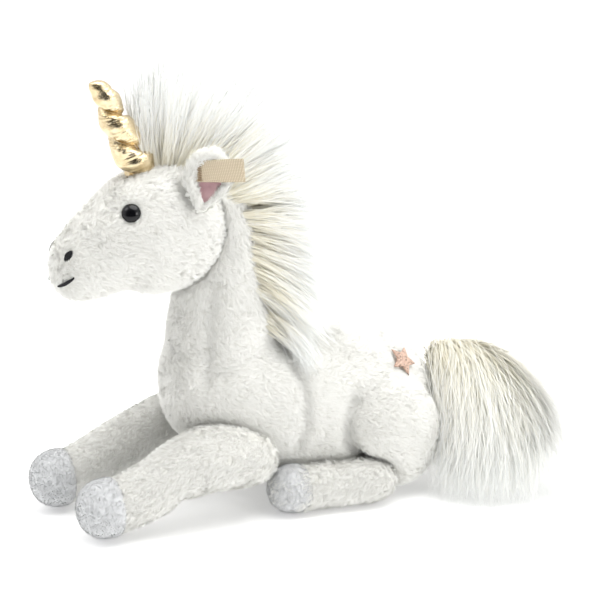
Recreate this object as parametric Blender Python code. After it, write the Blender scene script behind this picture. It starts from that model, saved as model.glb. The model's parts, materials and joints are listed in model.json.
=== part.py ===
"""Plush unicorn lying down: gold horn, white mane and tail, stuffed body, legs and hooves.

It faces -Y, its left side is +X, and it rests on the plane z = 0. Sizes are in millimetres and are
turned into metres when a mesh is made. Each piece is one closed solid. Pieces that touch keep GAP.
"""

import math

import bmesh
import bpy
from mathutils import Euler, Matrix, Vector

MM = 0.001

# Driving dimensions, in millimetres
CLOTH = 1.5            # thickness of the plush cloth with its backing
GAP = 0.3              # clearance between two pieces that touch
FILL = CLOTH + 0.8     # how far the stuffing's surface lies inside the cover's outer face
SIDES = 16             # corners of each round section
BODY_WIDTH = 78.0
BACK_HEIGHT = 93.0
HEAD_CENTRE = Vector((0.0, -84.0, 158.0))
HEAD_RADIUS = 36.0     # the round back of the head, which turns in the top of the neck
HORN_BASE = Vector((0.0, -93.4, 193.2))
HORN_TIP = Vector((0.0, -117.5, 237.5))
HORN_RADIUS = 9.0
EYE_RADIUS = 5.0
FORELEG_X = 29.0       # middle of a foreleg at the shoulder
HOOF_RADIUS = 15.8
HIND_HOOF_RADIUS = 13.2
SHOULDER = Vector((FORELEG_X + 4.0, -27.0, 34.0))
KNEE = Vector((FORELEG_X, -86.0, 51.0))
HOCK = Vector((45.0, 37.0, 13.2))
HOCK_SWING = 15.0      # degrees that a lower hind leg swings out
TAIL_ROOT = Vector((0.0, 85.0, 60.5))

PLUSH = (0.90, 0.89, 0.86)
VELOUR = (0.80, 0.81, 0.83)
CREAM = (0.93, 0.90, 0.80)
GOLD = (0.66, 0.47, 0.16)
PINK = (0.72, 0.45, 0.47)
BLACK = (0.012, 0.012, 0.014)
FIBREFILL = (0.95, 0.95, 0.95)
ROSE_GLITTER = (0.62, 0.42, 0.34)
OATMEAL = (0.72, 0.64, 0.50)


# ---------------------------------------------------------------- scene, materials and mesh helpers

def clear_scene():
    for obj in list(bpy.data.objects):
        bpy.data.objects.remove(obj, do_unlink=True)


def material(name, colour, roughness=0.9, metallic=0.0):
    found = bpy.data.materials.get(name)
    if found:
        return found
    mat = bpy.data.materials.new(name)
    mat.use_nodes = True
    shader = mat.node_tree.nodes["Principled BSDF"]
    shader.inputs["Base Color"].default_value = (*colour, 1.0)
    shader.inputs["Roughness"].default_value = roughness
    shader.inputs["Metallic"].default_value = metallic
    return mat


def to_object(name, bm):
    """A closed bmesh in millimetres becomes an object in metres."""
    bmesh.ops.remove_doubles(bm, verts=bm.verts, dist=0.001)
    bmesh.ops.recalc_face_normals(bm, faces=bm.faces)
    bmesh.ops.scale(bm, vec=(MM, MM, MM), verts=bm.verts)
    mesh = bpy.data.meshes.new(name)
    bm.to_mesh(mesh)
    bm.free()
    mesh.shade_smooth()
    obj = bpy.data.objects.new(name, mesh)
    bpy.context.scene.collection.objects.link(obj)
    return obj


def finish_piece(obj, mat, pivot=None):
    """Give the piece its material, and hang it on the empty that its joint turns about."""
    obj.data.materials.clear()
    obj.data.materials.append(mat)
    if pivot:
        obj.parent = pivot
        obj.matrix_parent_inverse = pivot.matrix_world.inverted()
    return obj


def pivot_empty(name, place, parent=None):
    empty = bpy.data.objects.new(name, None)
    empty.empty_display_size = 0.01
    empty.location = Vector(place) * MM
    bpy.context.scene.collection.objects.link(empty)
    if parent:
        empty.parent = parent
        empty.matrix_parent_inverse = Matrix.Translation(-Vector(parent.matrix_world.translation))
    bpy.context.view_layer.update()
    return empty


def combine(target, tool, operation):
    """Apply one exact Boolean to the target and remove the tool."""
    modifier = target.modifiers.new(operation.lower(), "BOOLEAN")
    modifier.operation = operation
    modifier.solver = "EXACT"
    modifier.object = tool
    graph = bpy.context.evaluated_depsgraph_get()
    graph.update()
    mesh = bpy.data.meshes.new_from_object(target.evaluated_get(graph))
    target.modifiers.clear()
    old = target.data
    target.data = mesh
    mesh.name = target.name
    bpy.data.meshes.remove(old)
    bpy.data.objects.remove(tool, do_unlink=True)
    return target


def cut(target, tool):
    return combine(target, tool, "DIFFERENCE")


def add(target, tool):
    return combine(target, tool, "UNION")


def keep(target, tool):
    return combine(target, tool, "INTERSECT")


# ---------------------------------------------------------------- lofted shapes

def catmull_rom(a, b, c, d, t):
    """The value at t from 0 to 1 on the curve from b to c, with a before it and d after it."""
    return 0.5 * (2 * b + (c - a) * t + (2 * a - 5 * b + 4 * c - d) * t * t + (3 * b - a - 3 * c + d) * t ** 3)


def smooth_rows(rows, steps):
    """Rows of numbers joined by Catmull-Rom curves, with `steps` intervals between given rows."""
    result = []
    last = len(rows) - 1
    for i in range(last):
        before, here, after, beyond = (rows[max(i - 1, 0)], rows[i], rows[i + 1], rows[min(i + 2, last)])
        for step in range(steps):
            t = step / steps
            result.append(tuple(catmull_rom(*values, t) for values in zip(before, here, after, beyond)))
    result.append(tuple(rows[last]))
    return result


def loft(name, rings):
    """Skin a list of rings of points with Bridge Edge Loops and close both ends."""
    bm = bmesh.new()
    loops = []
    for ring in rings:
        verts = [bm.verts.new(point) for point in ring]
        loops.append([bm.edges.new((verts[i], verts[(i + 1) % len(verts)])) for i in range(len(verts))])
    for first, second in zip(loops, loops[1:]):
        bmesh.ops.bridge_loops(bm, edges=first + second)
    bmesh.ops.triangulate(bm, faces=bm.faces, quad_method="FIXED")
    bmesh.ops.holes_fill(bm, edges=loops[0] + loops[-1], sides=0)
    return to_object(name, bm)


def circle_angles(sides=SIDES):
    return [2 * math.pi * (i + 0.5) / sides for i in range(sides)]


def tube_rings(rows, inset, sides=SIDES, flat=1.0):
    """Rings across a path of (x, y, z, radius), drawn in by `inset` all over, ends included."""
    points = [Vector(row[:3]) for row in rows]
    rings = []
    for i, row in enumerate(rows):
        ahead = points[min(i + 1, len(rows) - 1)] - points[max(i - 1, 0)]
        ahead.normalize()
        side = ahead.cross(Vector((0, 0, 1)))
        side.normalize()
        up = side.cross(ahead)
        centre = points[i].copy()
        if i == 0:
            centre += ahead * inset
        if i == len(rows) - 1:
            centre -= ahead * inset
        radius = max(row[3] - inset, 0.4)
        rings.append([centre + side * radius * math.cos(a) + up * radius * flat * math.sin(a)
                      for a in circle_angles(sides)])
    return rings


def tube(name, rows, inset=0.0, sides=SIDES, flat=1.0):
    return loft(name, tube_rings(rows, inset, sides, flat))


def capsule_rows(rows, steps=3):
    """Add half-round ends to a path of (x, y, z, radius)."""
    def end(tip, inner):
        centre, radius = Vector(tip[:3]), tip[3]
        out = (centre - Vector(inner[:3])).normalized()
        result = []
        for i in range(steps, 0, -1):
            angle = math.pi / 2 * i / (steps + 0.35)
            place = centre + out * radius * math.sin(angle)
            result.append((*place, radius * math.cos(angle)))
        return result
    return end(rows[0], rows[1]) + list(rows) + end(rows[-1], rows[-2])[::-1]


def ball(name, centre, radii, sides=SIDES, rings=10, turn=(0, 0, 0)):
    bm = bmesh.new()
    bmesh.ops.create_uvsphere(bm, u_segments=sides, v_segments=rings, radius=1.0)
    bmesh.ops.scale(bm, vec=radii, verts=bm.verts)
    bmesh.ops.rotate(bm, matrix=Euler(turn).to_matrix(), verts=bm.verts)
    bmesh.ops.translate(bm, vec=centre, verts=bm.verts)
    return to_object(name, bm)


def block(name, low, high):
    bm = bmesh.new()
    bmesh.ops.create_cube(bm, size=1.0)
    size = Vector(high) - Vector(low)
    bmesh.ops.scale(bm, vec=size, verts=bm.verts)
    bmesh.ops.translate(bm, vec=(Vector(low) + Vector(high)) / 2, verts=bm.verts)
    return to_object(name, bm)


def plate(name, outline, thickness):
    """A flat piece on z = 0 to `thickness`, cut to an outline of (x, y)."""
    bm = bmesh.new()
    face = bm.faces.new([bm.verts.new((x, y, 0)) for x, y in outline])
    grown = bmesh.ops.extrude_face_region(bm, geom=[face])
    verts = [v for v in grown["geom"] if isinstance(v, bmesh.types.BMVert)]
    bmesh.ops.translate(bm, vec=(0, 0, thickness), verts=verts)
    return to_object(name, bm)


def place(obj, frame):
    """Move an unparented piece by a matrix whose translation is in millimetres."""
    matrix = frame.copy()
    matrix.translation = frame.translation * MM
    obj.data.transform(matrix)
    return obj


def frame_at(point, normal, up):
    """A frame whose z is the normal and whose y is as near `up` as it can be."""
    z = Vector(normal).normalized()
    x = Vector(up).cross(z).normalized()
    y = z.cross(x)
    return Matrix.Translation(point) @ Matrix((x, y, z)).transposed().to_4x4()


def on_surface(obj, start, end):
    """Where a line from start to end first meets a piece, and the piece's normal there, in millimetres."""
    bpy.context.view_layer.update()
    start, end = Vector(start), Vector(end)
    hit, point, normal, _ = obj.ray_cast(start * MM, (end - start).normalized())
    if not hit:
        raise ValueError("no surface on " + obj.name)
    return point / MM, normal


def mirror_x(point):
    return Vector((-point[0], point[1], point[2]))


# ---------------------------------------------------------------- trunk and neck

def trunk_shape(name, inset):
    """Sections across the body: y, lowest z, highest z, half width, and how much the top is the wider."""
    half = BODY_WIDTH / 2
    top = BACK_HEIGHT
    rows = [
        (-82.0, 56.0, 80.0, 9.0, 0.0),
        (-78.0, 45.0, 92.0, 20.0, 0.05),
        (-68.0, 34.0, 100.0, 0.72 * half, 0.15),
        (-50.0, 20.0, 102.0, 0.88 * half, 0.25),
        (-25.0, 3.0, top + 4.0, 0.96 * half, 0.18),
        (5.0, -4.0, top, half, 0.08),
        (32.0, -4.0, top, half, 0.05),
        (52.0, -2.0, top - 6.0, 0.92 * half, 0.05),
        (68.0, 5.0, top - 17.0, 0.76 * half, 0.0),
        (78.0, 15.0, top - 30.0, 0.54 * half, 0.0),
        (82.5, 28.0, top - 43.0, 0.24 * half, 0.0),
    ]
    rings = []
    for i, (y, low, high, width, taper) in enumerate(rows):
        middle, height = (low + high) / 2, (high - low) / 2 - inset
        width = max(width - inset, 1.0)
        if i == 0:
            y += inset
        if i == len(rows) - 1:
            y -= inset
        ring = []
        for angle in circle_angles():
            lift = math.sin(angle)
            x = width * math.cos(angle) * (1 + taper * lift)
            ring.append((x, y, max(middle + height * lift, inset)))
        rings.append(ring)
    return loft(name, rings)


def neck_shape(name, inset):
    """Level sections of the neck: z, middle y, half length and half width."""
    rows = [
        (62.0, -42.0, 27.0, 24.0),
        (80.0, -46.0, 34.0, 31.0),
        (100.0, -47.0, 33.0, 29.5),
        (121.0, -48.0, 27.5, 25.0),
        (140.0, -48.0, 25.0, 22.5),
        (160.0, -49.0, 21.0, 20.0),
        (178.0, -53.5, 16.0, 17.0),
        (189.0, -58.0, 9.0, 11.0),
    ]
    rings = []
    for i, (z, middle, length, width) in enumerate(rows):
        if i == 0:
            z += inset
        if i == len(rows) - 1:
            z -= inset
        rings.append([((width - inset) * math.cos(a), middle + (length - inset) * math.sin(a), z)
                      for a in circle_angles()])
    return loft(name, rings)


def body_shape(name, inset):
    return add(trunk_shape(name, inset), neck_shape("neck", inset))


def head_socket(name, clearance):
    radius = HEAD_RADIUS + 1.8 + clearance
    return ball(name, HEAD_CENTRE, (radius, radius, radius), sides=24, rings=16)


def belly_outline(inset, corners=20):
    """The flat panel under the belly: an oval between the legs."""
    return [((21.0 - inset) * math.cos(2 * math.pi * i / corners),
             12.0 + (40.0 - inset) * math.sin(2 * math.pi * i / corners)) for i in range(corners)]


def make_trunk():
    plush = material("plush", PLUSH)
    cover = cut(body_shape("trunk_cover", 0.0), body_shape("lining", CLOTH))
    cut(cover, head_socket("socket", 0.0))
    window = plate("window", belly_outline(0.0), CLOTH + 2.0)
    place(window, Matrix.Translation((0, 0, -1.0)))
    finish_piece(cut(cover, window), plush)
    filling = cut(body_shape("trunk_stuffing", FILL), head_socket("socket", GAP))
    finish_piece(filling, material("fibrefill", FIBREFILL))
    panel = plate("belly_panel", belly_outline(GAP), CLOTH)
    finish_piece(panel, material("belly_cloth", VELOUR))
    return cover


def star_outline(outer, inner, points=5):
    corners = []
    for i in range(2 * points):
        radius = outer if i % 2 == 0 else inner
        angle = math.pi / 2 + math.pi * i / points
        corners.append((radius * math.cos(angle), radius * math.sin(angle)))
    return corners


def make_star(trunk):
    """The glitter star sewn on the left of the rump."""
    star = plate("star_patch", star_outline(7.4, 3.5), 0.8)
    point, normal = on_surface(trunk, (70.0, 66.0, 118.0), (26.0, 50.0, 74.0))
    place(star, frame_at(point + normal * 1.2, normal, (0.0, -0.3, 1.0)))
    finish_piece(star, material("star_glitter", ROSE_GLITTER, 0.35, 0.6))


# ---------------------------------------------------------------- head

def head_shape(name, inset):
    """Sections across the head: y, lowest z, highest z and half width, from the nape to the nose."""
    rows = [
        (-49.5, 150.0, 166.0, 9.0),
        (-53.0, 141.0, 176.0, 18.0),
        (-62.0, 130.5, 186.0, 26.0),
        (-76.0, 123.2, 193.0, 30.5),
        (-92.0, 122.5, 192.0, 30.5),
        (-106.0, 123.5, 184.0, 26.5),
        (-119.0, 121.0, 173.5, 21.5),
        (-130.0, 120.5, 163.0, 18.0),
        (-138.0, 125.0, 154.0, 13.0),
        (-142.0, 133.0, 147.0, 6.0),
    ]
    rings = []
    for i, (y, low, high, width) in enumerate(rows):
        if i == 0:
            y -= inset
        if i == len(rows) - 1:
            y += inset
        middle, height = (low + high) / 2, (high - low) / 2 - inset
        rings.append([((width - inset) * math.cos(a), y, middle + height * math.sin(a))
                      for a in circle_angles()])
    return loft(name, rings)


def make_head(pivot):
    """The head's cover and stuffing, with room in the stuffing for the eyes' washers."""
    cover = cut(head_shape("head_cover", 0.0), head_shape("lining", CLOTH))
    mouth_of_cover = tube("mouth_of_cover", [(0, -44, 158, 9), (0, -66, 158, 9)], sides=12)
    finish_piece(cut(cover, mouth_of_cover), material("plush", PLUSH), pivot)
    filling = head_shape("head_stuffing", FILL)
    for side in (1, -1):
        cut(filling, disc("washer_room", 4.4, -5.4, 6.0, eye_frame(cover, side), 12))
    finish_piece(filling, material("fibrefill", FIBREFILL), pivot)
    return cover


def eye_frame(head, side):
    point, normal = on_surface(head, (side * 60.0, -118.0, 186.0), (side * 20.0, -104.0, 169.0))
    return frame_at(point, normal, (0, 0, 1))


def disc(name, radius, low, high, frame, sides=SIDES):
    bm = bmesh.new()
    bmesh.ops.create_cone(bm, cap_ends=True, segments=sides, radius1=radius, radius2=radius, depth=high - low)
    bmesh.ops.translate(bm, vec=(0, 0, (low + high) / 2), verts=bm.verts)
    return place(to_object(name, bm), frame)


def make_eye(head, side, label, pivot):
    """A domed safety eye outside the cover and its locking washer inside."""
    dome = ball("eye_" + label, Vector((0, 0, 1.0)), (EYE_RADIUS, EYE_RADIUS, 2.6), 16, 8)
    keep(dome, block("front", (-9, -9, 1.0), (9, 9, 9)))
    place(dome, eye_frame(head, side))
    finish_piece(dome, material("eye_black", BLACK, 0.06), pivot)
    washer = disc("eye_washer_" + label, 4.0, -4.8, -3.6, eye_frame(head, side), 12)
    finish_piece(washer, material("washer_plastic", (0.85, 0.85, 0.83), 0.5), pivot)


def make_face_stitches(head, side, label, pivot):
    """Satin-stitched nostril and mouth line, laid on the muzzle."""
    thread = material("face_thread", BLACK, 0.7)
    point, normal = on_surface(head, (side * 50.0, -160.0, 166.0), (side * 11.0, -136.0, 149.5))
    nostril = ball("nostril_stitch_" + label, Vector((0, 0, 1.4)), (1.9, 3.1, 0.8), 12, 6, (0, 0, side * 0.5))
    finish_piece(place(nostril, frame_at(point, normal, (0, 0.2, 1))), thread, pivot)
    path = []
    for i in range(7):
        t = i / 6
        target = Vector((side * (8.0 + 8.0 * t), -139.0 + 8.0 * t, 133.5 + 5.5 * t - 3.0 * t * (1 - t)))
        point, normal = on_surface(head, target + Vector((side * 30.0, -40.0, 0.0)), target)
        path.append((*(point + normal * 1.2), 0.75))
    finish_piece(tube("mouth_stitch_" + label, path, sides=8), thread, pivot)


# ---------------------------------------------------------------- horn

def horn_radius(t):
    """Four pinched lobes on a taper that ends in a round tip."""
    taper = HORN_RADIUS * (1 - 0.40 * t)
    lobes = 1 - 0.13 * math.cos(8 * math.pi * t) ** 2
    end = math.sqrt(max(1 - max((t - 0.9) / 0.1, 0) ** 2, 0.02))
    return taper * lobes * end


def horn_rows(inset, count=21):
    axis = HORN_TIP - HORN_BASE
    rows = []
    for i in range(count):
        t = i / (count - 1)
        rows.append((*(HORN_BASE + axis * t), horn_radius(t)))
    return rows


def make_horn(pivot):
    cover = tube("horn_cover", horn_rows(0.0), 0.0, 12)
    cut(cover, tube("lining", horn_rows(0.0), 0.8, 12))
    below = HORN_BASE - (HORN_TIP - HORN_BASE).normalized() * 2.0
    above = HORN_BASE + (HORN_TIP - HORN_BASE).normalized() * 2.5
    cut(cover, tube("mouth_of_horn", [(*below, 6.0), (*above, 6.0)], sides=12))
    finish_piece(cover, material("gold_lame", GOLD, 0.3, 1.0), pivot)
    filling = tube("horn_stuffing", horn_rows(0.0), 0.8 + GAP, 12)
    finish_piece(filling, material("fibrefill", FIBREFILL), pivot)


# ---------------------------------------------------------------- ears and label

def ear_outline(scale=1.0):
    """A leaf, 36 high and 26 wide, narrow at its root: (across, up)."""
    rows = [(0.0, 3.6), (0.18, 7.0), (0.42, 11.4), (0.62, 12.8), (0.80, 11.2), (0.93, 6.8), (1.0, 1.2)]
    right = [(width * scale, 18.0 + 36.0 * (t - 0.5) * scale) for t, width in rows]
    left = [(-x, y) for x, y in reversed(right)]
    return right + left


def ear_frame(side):
    root = Vector((side * 28.5, -69.0, 170.0))
    return frame_at(root, (side * 0.80, -0.58, 0.16), (side * 0.10, 0.22, 1.0))


def make_ear(side, label, pivot):
    """The plush back of the ear and its pink velour lining, sewn edge to edge."""
    back = plate("ear_back_" + label, ear_outline(), 3.0)
    finish_piece(place(back, ear_frame(side)), material("plush", PLUSH), pivot)
    lining = plate("ear_lining_" + label, ear_outline(0.86), 1.0)
    place(lining, Matrix.Translation((0, 0, 3.0 + GAP)))
    finish_piece(place(lining, ear_frame(side)), material("pink_velour", PINK, 0.8), pivot)


def label_frame():
    """Where the ribbon label leaves the left ear's rear edge."""
    return ear_frame(1) @ Matrix.Translation((1.0, 22.0, 4.9))


def make_label(ear_pivot, pivot):
    ribbon = material("label_ribbon", OATMEAL, 0.8)
    outline = [(0.0, 0.0), (25.0, -1.5), (25.0, 10.0), (0.0, 10.5)]
    finish_piece(place(plate("ear_label", outline, 0.9), label_frame()), ribbon, pivot)
    tack = block("label_tack", (1.0, 2.0, 1.2), (2.4, 8.5, 1.9))
    finish_piece(place(tack, label_frame()), material("tack_thread", (0.45, 0.38, 0.28), 0.8), pivot)


# ---------------------------------------------------------------- legs

def foreleg_rows(side):
    """The foreleg's middle line and radius, from the end of the hoof to the shoulder."""
    x = FORELEG_X
    reach = 3.0 if side > 0 else -6.0
    rows = [
        (x - 2.5, -127.0 + reach, 16.0, HOOF_RADIUS),
        (x - 2.0, -114.0 + reach, 19.0, 16.2),
        (x - 1.0, -98.0 + reach, 25.6, 16.8),
        (x, -82.0, 33.0, 18.6),
        (x + 1.0, -66.0, 37.0, 19.8),
        (x + 1.0, -54.0, 36.0, 19.6),
        (x + 1.0, -46.0, 34.0, 18.4),
    ]
    return [(side * row[0], *row[1:]) for row in rows]


def foreleg_shape(name, side, inset):
    return tube(name, capsule_rows(foreleg_rows(side)), inset)


def hoof_cut_y(side):
    return foreleg_rows(side)[0][1] + 4.0


def slab(name, y_low, y_high):
    """A thick wall across the toy between two values of y, used to keep or remove a length of leg."""
    return block(name, (-90, y_low, -20), (90, y_high, 120))


def keep_off_trunk(piece, clearance):
    """Trim what would lie inside the trunk, the neck or their cloth."""
    return cut(piece, body_shape("trunk_room", -clearance))


def turned(obj, place_at, degrees):
    """Turn an unparented piece about an upright line through a place."""
    spin = Matrix.Rotation(math.radians(degrees), 4, "Z")
    at = Vector(place_at) * MM
    obj.data.transform(Matrix.Translation(at) @ spin @ Matrix.Translation(-at))
    return obj


def make_foreleg(side, label, shoulder, knee):
    plush = material("plush", PLUSH)
    fibre = material("fibrefill", FIBREFILL)
    hoof_y = hoof_cut_y(side)
    upper = foreleg_shape("foreleg_upper_cover_" + label, side, 0.0)
    cut(upper, foreleg_shape("lining", side, CLOTH))
    keep(upper, slab("upper_room", KNEE.y + GAP / 2, 0))
    finish_piece(keep_off_trunk(upper, GAP), plush, shoulder)
    filling = foreleg_shape("foreleg_upper_stuffing_" + label, side, FILL)
    keep(filling, slab("upper_room", KNEE.y + GAP, 0))
    finish_piece(keep_off_trunk(filling, 2 * GAP), fibre, shoulder)
    lower = foreleg_shape("foreleg_lower_cover_" + label, side, 0.0)
    cut(lower, foreleg_shape("lining", side, CLOTH))
    keep(lower, slab("lower_room", hoof_y + GAP / 2, KNEE.y - GAP / 2))
    finish_piece(lower, plush, knee)
    filling = foreleg_shape("foreleg_lower_stuffing_" + label, side, FILL)
    keep(filling, slab("lower_room", -200, KNEE.y - GAP))
    finish_piece(filling, fibre, knee)
    hoof = cut(foreleg_shape("fore_hoof_" + label, side, 0.0), foreleg_shape("lining", side, CLOTH))
    keep(hoof, slab("hoof_room", -200, hoof_y - GAP / 2))
    finish_piece(hoof, material("hoof_velour", VELOUR), knee)


def hind_rows(side):
    rows = [
        (36.0, -22.0, 13.4, HIND_HOOF_RADIUS),
        (37.5, -8.0, 13.0, 12.7),
        (40.0, 8.0, 13.0, 12.5),
        (43.0, 24.0, 13.2, 12.8),
    ]
    return [(side * row[0], *row[1:]) for row in rows]


def hind_shape(name, side, inset):
    return tube(name, capsule_rows(hind_rows(side)), inset)


def make_hind_leg(side, label, hock):
    """The lower hind leg lies forward along the belly, with its hoof in front."""
    cuff_y = -16.0
    shank = cut(hind_shape("hind_shank_cover_" + label, side, 0.0), hind_shape("lining", side, CLOTH))
    keep(shank, slab("shank_room", cuff_y + GAP / 2, 90))
    finish_piece(keep_off_trunk(shank, GAP), material("plush", PLUSH), hock)
    filling = hind_shape("hind_shank_stuffing_" + label, side, FILL)
    finish_piece(keep_off_trunk(filling, GAP), material("fibrefill", FIBREFILL), hock)
    hoof = cut(hind_shape("hind_hoof_" + label, side, 0.0), hind_shape("lining", side, CLOTH))
    keep(hoof, slab("hoof_room", -200, cuff_y - GAP / 2))
    finish_piece(keep_off_trunk(hoof, GAP), material("hoof_velour", VELOUR), hock)


def thigh_shape(name, side, inset):
    radii = Vector((19.0, 30.0, 33.5)) - Vector((inset, inset, inset))
    return ball(name, Vector((side * 34.0, 41.5, 34.5)), radii, SIDES, 10)


def make_thigh(side, label):
    """The rounded haunch is a stuffed pouch sewn against the rump, above the lower leg."""
    for name, inset, mat in (("thigh_cover_", 0.0, material("plush", PLUSH)),
                             ("thigh_stuffing_", FILL, material("fibrefill", FIBREFILL))):
        piece = thigh_shape(name + label, side, inset)
        if inset == 0.0:
            cut(piece, thigh_shape("lining", side, CLOTH))
        for share in (0.0, 0.5, 1.0):
            leg_room = hind_shape("leg_room", side, -1.2)
            cut(piece, turned(leg_room, (side * HOCK.x, *HOCK.yz), side * share * HOCK_SWING))
        finish_piece(keep_off_trunk(piece, GAP), mat)


# ---------------------------------------------------------------- hair and tail

def ribbon_solid(name, rows):
    """A flat, round-edged mass of hair: rows of (inner point, outer point, half thickness)."""
    rings = []
    for inner, outer, half in rows:
        inner, outer = Vector(inner), Vector(outer)
        across = Vector((half, 0, 0))
        rings.append([inner - across, inner + across,
                      inner.lerp(outer, 0.45) + across * 1.25, inner.lerp(outer, 0.85) + across * 0.7,
                      outer + across * 0.2, outer - across * 0.2,
                      inner.lerp(outer, 0.85) - across * 0.7, inner.lerp(outer, 0.45) - across * 1.25])
    return loft(name, rings)


def make_mane():
    """Hair on a tape along the crest of the neck, down to the withers."""
    rows = [
        ((0, -40.5, 187.0), (0, -24.0, 232.0), 7.0),
        ((0, -33.5, 178.0), (0, -8.0, 208.0), 8.5),
        ((0, -27.0, 164.0), (0, 6.0, 184.0), 9.5),
        ((0, -22.5, 148.0), (0, 13.0, 157.0), 10.0),
        ((0, -19.5, 132.0), (0, 16.0, 130.0), 10.0),
        ((0, -12.5, 117.0), (0, 14.0, 106.0), 9.0),
        ((0, -5.0, 103.0), (0, 9.0, 96.0), 6.0),
    ]
    hair = ribbon_solid("mane_hair", rows)
    cut(hair, neck_shape("neck_room", -1.6))
    cut(hair, trunk_shape("trunk_room", -0.6))
    finish_piece(hair, material("long_hair", CREAM))
    strips = [((0, row[0][1] - 8, row[0][2] - 3), (0, row[0][1] + 12, row[0][2] + 5), 7.0) for row in rows[1:6]]
    tape = ribbon_solid("mane_tape", strips)
    keep(tape, neck_shape("tape_outside", -1.2))
    cut(tape, neck_shape("neck_room", -GAP))
    cut(tape, trunk_shape("trunk_room", -1.2))
    finish_piece(tape, material("tape_weave", CREAM, 0.85))


def make_forelock(pivot):
    """The tuft between the ears rides on the head."""
    rows = [
        ((0, -84.0, 196.5), (0, -93.0, 219.0), 7.0),
        ((0, -78.0, 196.0), (0, -80.0, 238.0), 9.0),
        ((0, -70.0, 193.0), (0, -62.0, 246.0), 10.0),
        ((0, -62.0, 190.0), (0, -44.0, 240.0), 8.0),
    ]
    hair = ribbon_solid("forelock_hair", rows)
    cut(hair, head_shape("head_room", -0.5))
    finish_piece(hair, material("long_hair", CREAM), pivot)


def tail_rows():
    """The fan of tail hair falls from the rump to the floor on the toy's left: x, y, z, half width."""
    return [
        (0.0, 88.0, 61.5, 7.5),
        (4.0, 96.0, 61.0, 13.0),
        (14.0, 103.0, 53.0, 22.0),
        (29.0, 106.0, 40.0, 31.0),
        (47.0, 106.0, 26.0, 36.0),
        (62.0, 105.0, 17.0, 31.0),
        (72.0, 105.0, 12.0, 17.0),
    ]


def core_rows(grow):
    return [(0, 84.0 - grow, 60.4, 1.6 + grow), (0, 86.0, 60.7, 4.6 + grow), (0, 88.5, 61.2, 5.4 + grow),
            (1.0, 92.5, 61.6, 5.0 + grow), (2.5, 97.0 + grow, 60.5, 3.5 + grow)]


def make_tail(pivot):
    """A sewn stub on the rump that carries the long hair."""
    core = tube("tail_core", core_rows(0.0), sides=12)
    finish_piece(core, material("tape_weave", CREAM, 0.85), pivot)
    hair = tube("tail_hair", smooth_rows(tail_rows(), 2), flat=0.55)
    keep(hair, block("above_floor", (-90, 60, 0.6), (140, 220, 140)))
    cut(hair, tube("core_room", core_rows(0.5), sides=12))
    finish_piece(hair, material("long_hair", CREAM), pivot)


# ---------------------------------------------------------------- assembly

def thread_ring(name, centre, normal, radius, count, thickness):
    """A closed loop of sewing thread."""
    bm = bmesh.new()
    profile = [bm.verts.new((0, -radius + thickness * math.cos(a), thickness * math.sin(a)))
               for a in circle_angles(6)]
    edges = [bm.edges.new((profile[i], profile[(i + 1) % 6])) for i in range(6)]
    bmesh.ops.spin(bm, geom=profile + edges, cent=(0, 0, 0), axis=(0, 0, 1), angle=2 * math.pi,
                   steps=count, use_merge=True)
    return place(to_object(name, bm), frame_at(centre, normal, (1, 0, 0)))


def make_throat_thread(pivot):
    """The thread that draws the neck's opening tight around the back of the head."""
    toward_neck = Vector((0.0, 0.8, -0.6))
    depth = 29.0
    shell = HEAD_RADIUS + 0.7
    thread = thread_ring("throat_thread", HEAD_CENTRE + toward_neck * depth, toward_neck,
                         math.sqrt(shell ** 2 - depth ** 2), 24, 0.35)
    finish_piece(thread, material("white_thread", (0.9, 0.9, 0.88), 0.7), pivot)


def make_tail_thread(pivot):
    """The ladder stitch that holds the tail's stub to the rump."""
    thread = thread_ring("tail_thread", Vector((0.0, 83.2, 60.0)), Vector((0.0, 1.0, 0.0)), 2.6, 10, 0.3)
    finish_piece(thread, material("white_thread", (0.9, 0.9, 0.88), 0.7), pivot)


def build():
    clear_scene()
    make_star(make_trunk())
    make_mane()
    neck = pivot_empty("neck_pivot", HEAD_CENTRE)
    make_throat_thread(neck)
    head = pivot_empty("head_pivot", HEAD_CENTRE, neck)
    head_cover = make_head(head)
    make_forelock(head)
    make_horn(pivot_empty("horn_pivot", HORN_BASE, head))
    tail_seam = pivot_empty("tail_swing_pivot", TAIL_ROOT)
    make_tail_thread(tail_seam)
    make_tail(pivot_empty("tail_lift_pivot", TAIL_ROOT, tail_seam))
    for side, label in ((1, "left"), (-1, "right")):
        make_eye(head_cover, side, label, head)
        make_face_stitches(head_cover, side, label, head)
        ear = pivot_empty("ear_pivot_" + label, ear_frame(side).translation, head)
        make_ear(side, label, ear)
        if side > 0:
            make_label(ear, pivot_empty("label_pivot", label_frame().translation, ear))
        shoulder_at = SHOULDER if side > 0 else mirror_x(SHOULDER)
        shoulder = pivot_empty("shoulder_pivot_" + label, shoulder_at)
        knee = pivot_empty("knee_pivot_" + label, (side * KNEE.x, *KNEE.yz), shoulder)
        make_foreleg(side, label, shoulder, knee)
        make_thigh(side, label)
        hock_at = HOCK if side > 0 else mirror_x(HOCK)
        make_hind_leg(side, label, pivot_empty("hock_pivot_" + label, hock_at))


build()
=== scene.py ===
"""The plush unicorn's looks: stuffed skins, pile, long hair, gold horn, velour hooves and face.

Lengths in this script are millimetres in the frame's axes (nose towards -Y, its left side +X, up +Z).
"""

import json
import math

import bmesh
import bpy
import numpy as np
from mathutils import Matrix, Vector, kdtree, noise
from mathutils.bvhtree import BVHTree


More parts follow.
